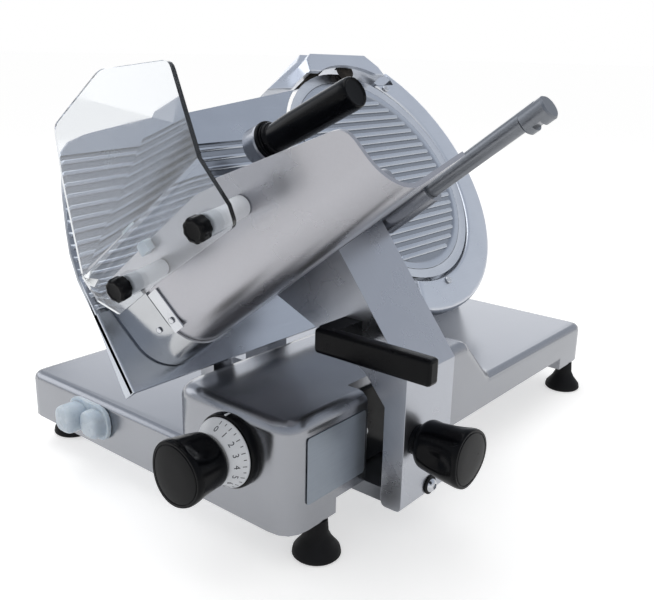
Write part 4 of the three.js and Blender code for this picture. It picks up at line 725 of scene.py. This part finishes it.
def makeBezel(s, b, place):
    # a ring section turned once round, and the mark's small block on top of it
    ring = filleted([(b["inner"], b["back"], 0.2), (b["ring"], b["back"], 0.3),
                     (b["ring"] + b["swell"], b["swellDeep"], 1), (b["ring"], b["deep"], 1.8),
                     (b["inner"], b["deep"], 0.5)], closed=True)
    hoop = turnedGrid(ring, s["sides"])
    hoop = np.concatenate([hoop, hoop[:1]], axis=0)
    addPiece("indexBezel", [hoop], "black_plastic", "base", place, ["index_bezel"])
    top = b["ring"] + b["markAt"]
    low, high = top - b["markRoot"], top + b["markRise"]
    half = b["markHalf"]
    mark = np.array([[-half, low], [half, low], [half, high], [-half, high]])
    addPiece("indexMark", [prismGrid(mark, *b["mark"], b["markEdge"])], "white_nylon", "base", place)


def figureBlock(s, number):
    # one figure laid flat on the cone, its middle sunk by half the ink's thickness
    angle = math.radians(s["zero"] + s["step"] * number)
    across, up, normal = coneAxes(s, angle)
    flat, polygons = figureMesh(str(number), s["figureHigh"], figureSet)
    spot = coneSpot(s, angle, s["figureShare"]) + normal * s["ink"] / 2
    return spot + flat @ np.stack([across, up, normal]), polygons


def tickBlock(s, number):
    # a thin box along the cone's slope, shorter at the half steps
    angle = math.radians(s["zero"] + s["step"] * number / 2)
    across, up, normal = coneAxes(s, angle)
    start = coneSpot(s, angle, s["tickFrom"])
    end = coneSpot(s, angle, s["tickTo"] - s["shorter"] * (number % 2))
    side, lift = across * s["tickHalf"], normal * s["ink"]
    low = np.array([start - side, start + side, end + side, end - side])
    box = [(3, 2, 1, 0), (4, 5, 6, 7), (0, 1, 5, 4), (1, 2, 6, 5), (2, 3, 7, 6), (3, 0, 4, 7)]
    return np.concatenate([low, low + lift]), box


def makeDial(s, b):
    # the cone's profile turned once round, with every figure and tick in one ink mesh
    place = towardFront(s["x"], 0, s["z"])
    cone = filleted([(0, s["back"], 0), (s["neck"], s["back"], 0.2), (s["neck"], s["lipBack"], 0.2),
                     (s["rim"] - 0.4, s["lipBack"], 0.3), (s["rim"], s["lipBack"] + 0.6, 0.3),
                     (s["rim"], s["rimDeep"], 0.5), (s["face"], s["faceDeep"], 0.8),
                     (0, s["faceDeep"] + 0.2, 0)])
    addPiece("indexDial", [turnedGrid(cone, s["sides"])], "white_nylon", "index", place, ["index_dial"],
             sharp=30)
    makeBezel(s, b, place)
    blocks = [figureBlock(s, number) for number in range(s["figures"])]
    blocks += [tickBlock(s, number) for number in range(s["figures"] * 2 - 1)]
    faces, first = [], 0
    for points, polygons in blocks:
        faces += [[first + corner for corner in face] for face in polygons]
        first += len(points)
    mesh = bpy.data.meshes.new("dialFigures")
    mesh.from_pydata(place(np.concatenate([points for points, polygons in blocks])).tolist(), [], faces)
    closeShell(mesh, mergeNear["ink"])
    enter("dialFigures", mesh, "dialInk", "index")


makeDial(dialSet, bezelSet)

# Switch: two domed boots in a rounded frame
switchSet = {"x": -268, "z": 60, "pitch": 29, "radius": 13.8, "back": 3.6, "stop": 26.6, "start": 17.6,
             "shoulder": 5.0, "brow": 1.6, "browDeep": 0.8, "square": 3.0}


def makeSwitch(s):
    # each boot is a dome turned once round on a rounded square
    for i, name in enumerate(("stop", "start")):
        front = s[name]
        dome = filleted([(0, s["back"], 0), (s["radius"], s["back"], 0.5),
                         (s["radius"], front - s["shoulder"], 1.5),
                         (s["radius"] - s["brow"], front - s["browDeep"], 3), (0, front, 0)], 8)
        addPiece(name + "Boot", [turnedGrid(dome, square=s["square"])], "pale_cap", name + "_key",
                 towardFront(s["x"] + (i - 0.5) * s["pitch"], 0, s["z"]), [name + "_button"], sharp=60)


makeSwitch(switchSet)

# Pusher handle: a round bar with a double collar and a dished end
handleSet = {"along": -226.0, "top": 36.0, "out": 44.0, "droop": 11, "body": [
    (0, 0, 0), (21.4, 0, 0.6), (22, 1.4, 0.6), (22, 4, 1), (20.6, 5, 0.6), (18.4, 4.4, 0.8), (17.6, 6, 0.8),
    (18.4, 8.6, 0.8), (17.4, 10.4, 0.8), (15.2, 11.4, 1), (15.4, 16, 2), (16.5, 40, 8), (16.5, 119, 3),
    (15.8, 124.6, 1.6), (14.6, 126, 0.8), (13.4, 126, 0.4), (12.9, 124.8, 0.4), (12.2, 124.6, 0.3),
    (0, 124.4, 0)]}


def makeHandle(s):
    # the bar leans away from the blade's axis by the droop
    droop = math.radians(s["droop"])
    up = bladeUp * math.cos(droop) + bladeAxis * math.sin(droop)
    out = bladeAxis * math.cos(droop) - bladeUp * math.sin(droop)
    spot = bladeCentre + s["along"] * bladeAlong + s["top"] * bladeUp + s["out"] * bladeAxis
    addPiece("pusherHandle", [turnedGrid(filleted(s["body"]), 128)], "black_plastic", "pusher",
             placedBy(spot, bladeAlong, up, out), ["pusher_handle"])


makeHandle(handleSet)

# Arm bolt: a domed head with a round socket on a dark washer
boltSet = {"x": 39.3, "y": 150, "z": 36,
           "washer": [(0, 0, 0), (9, 0, 0.2), (9, 1.4, 0.3), (0, 1.5, 0)],
           "head": [(0, 1.3, 0), (6.6, 1.3, 0.3), (6.6, 2.6, 0.8), (4.6, 5.6, 2), (3.1, 6, 0.4), (2.9, 4, 0),
                    (0, 4, 0)]}


def makeBolt(s):
    # both are turned once round the bolt's axis
    place = towardRight(s["x"], s["y"], s["z"])
    addPiece("boltHead", [turnedGrid(filleted(s["head"]))], "grey_steel", "carriage", place,
             ["carriage_bolt"], "polishedSteel")
    addPiece("boltWasher", [turnedGrid(filleted(s["washer"]))], "black_rubber", "carriage", place)


makeBolt(boltSet)
print("dial, switch, handle and bolt made")
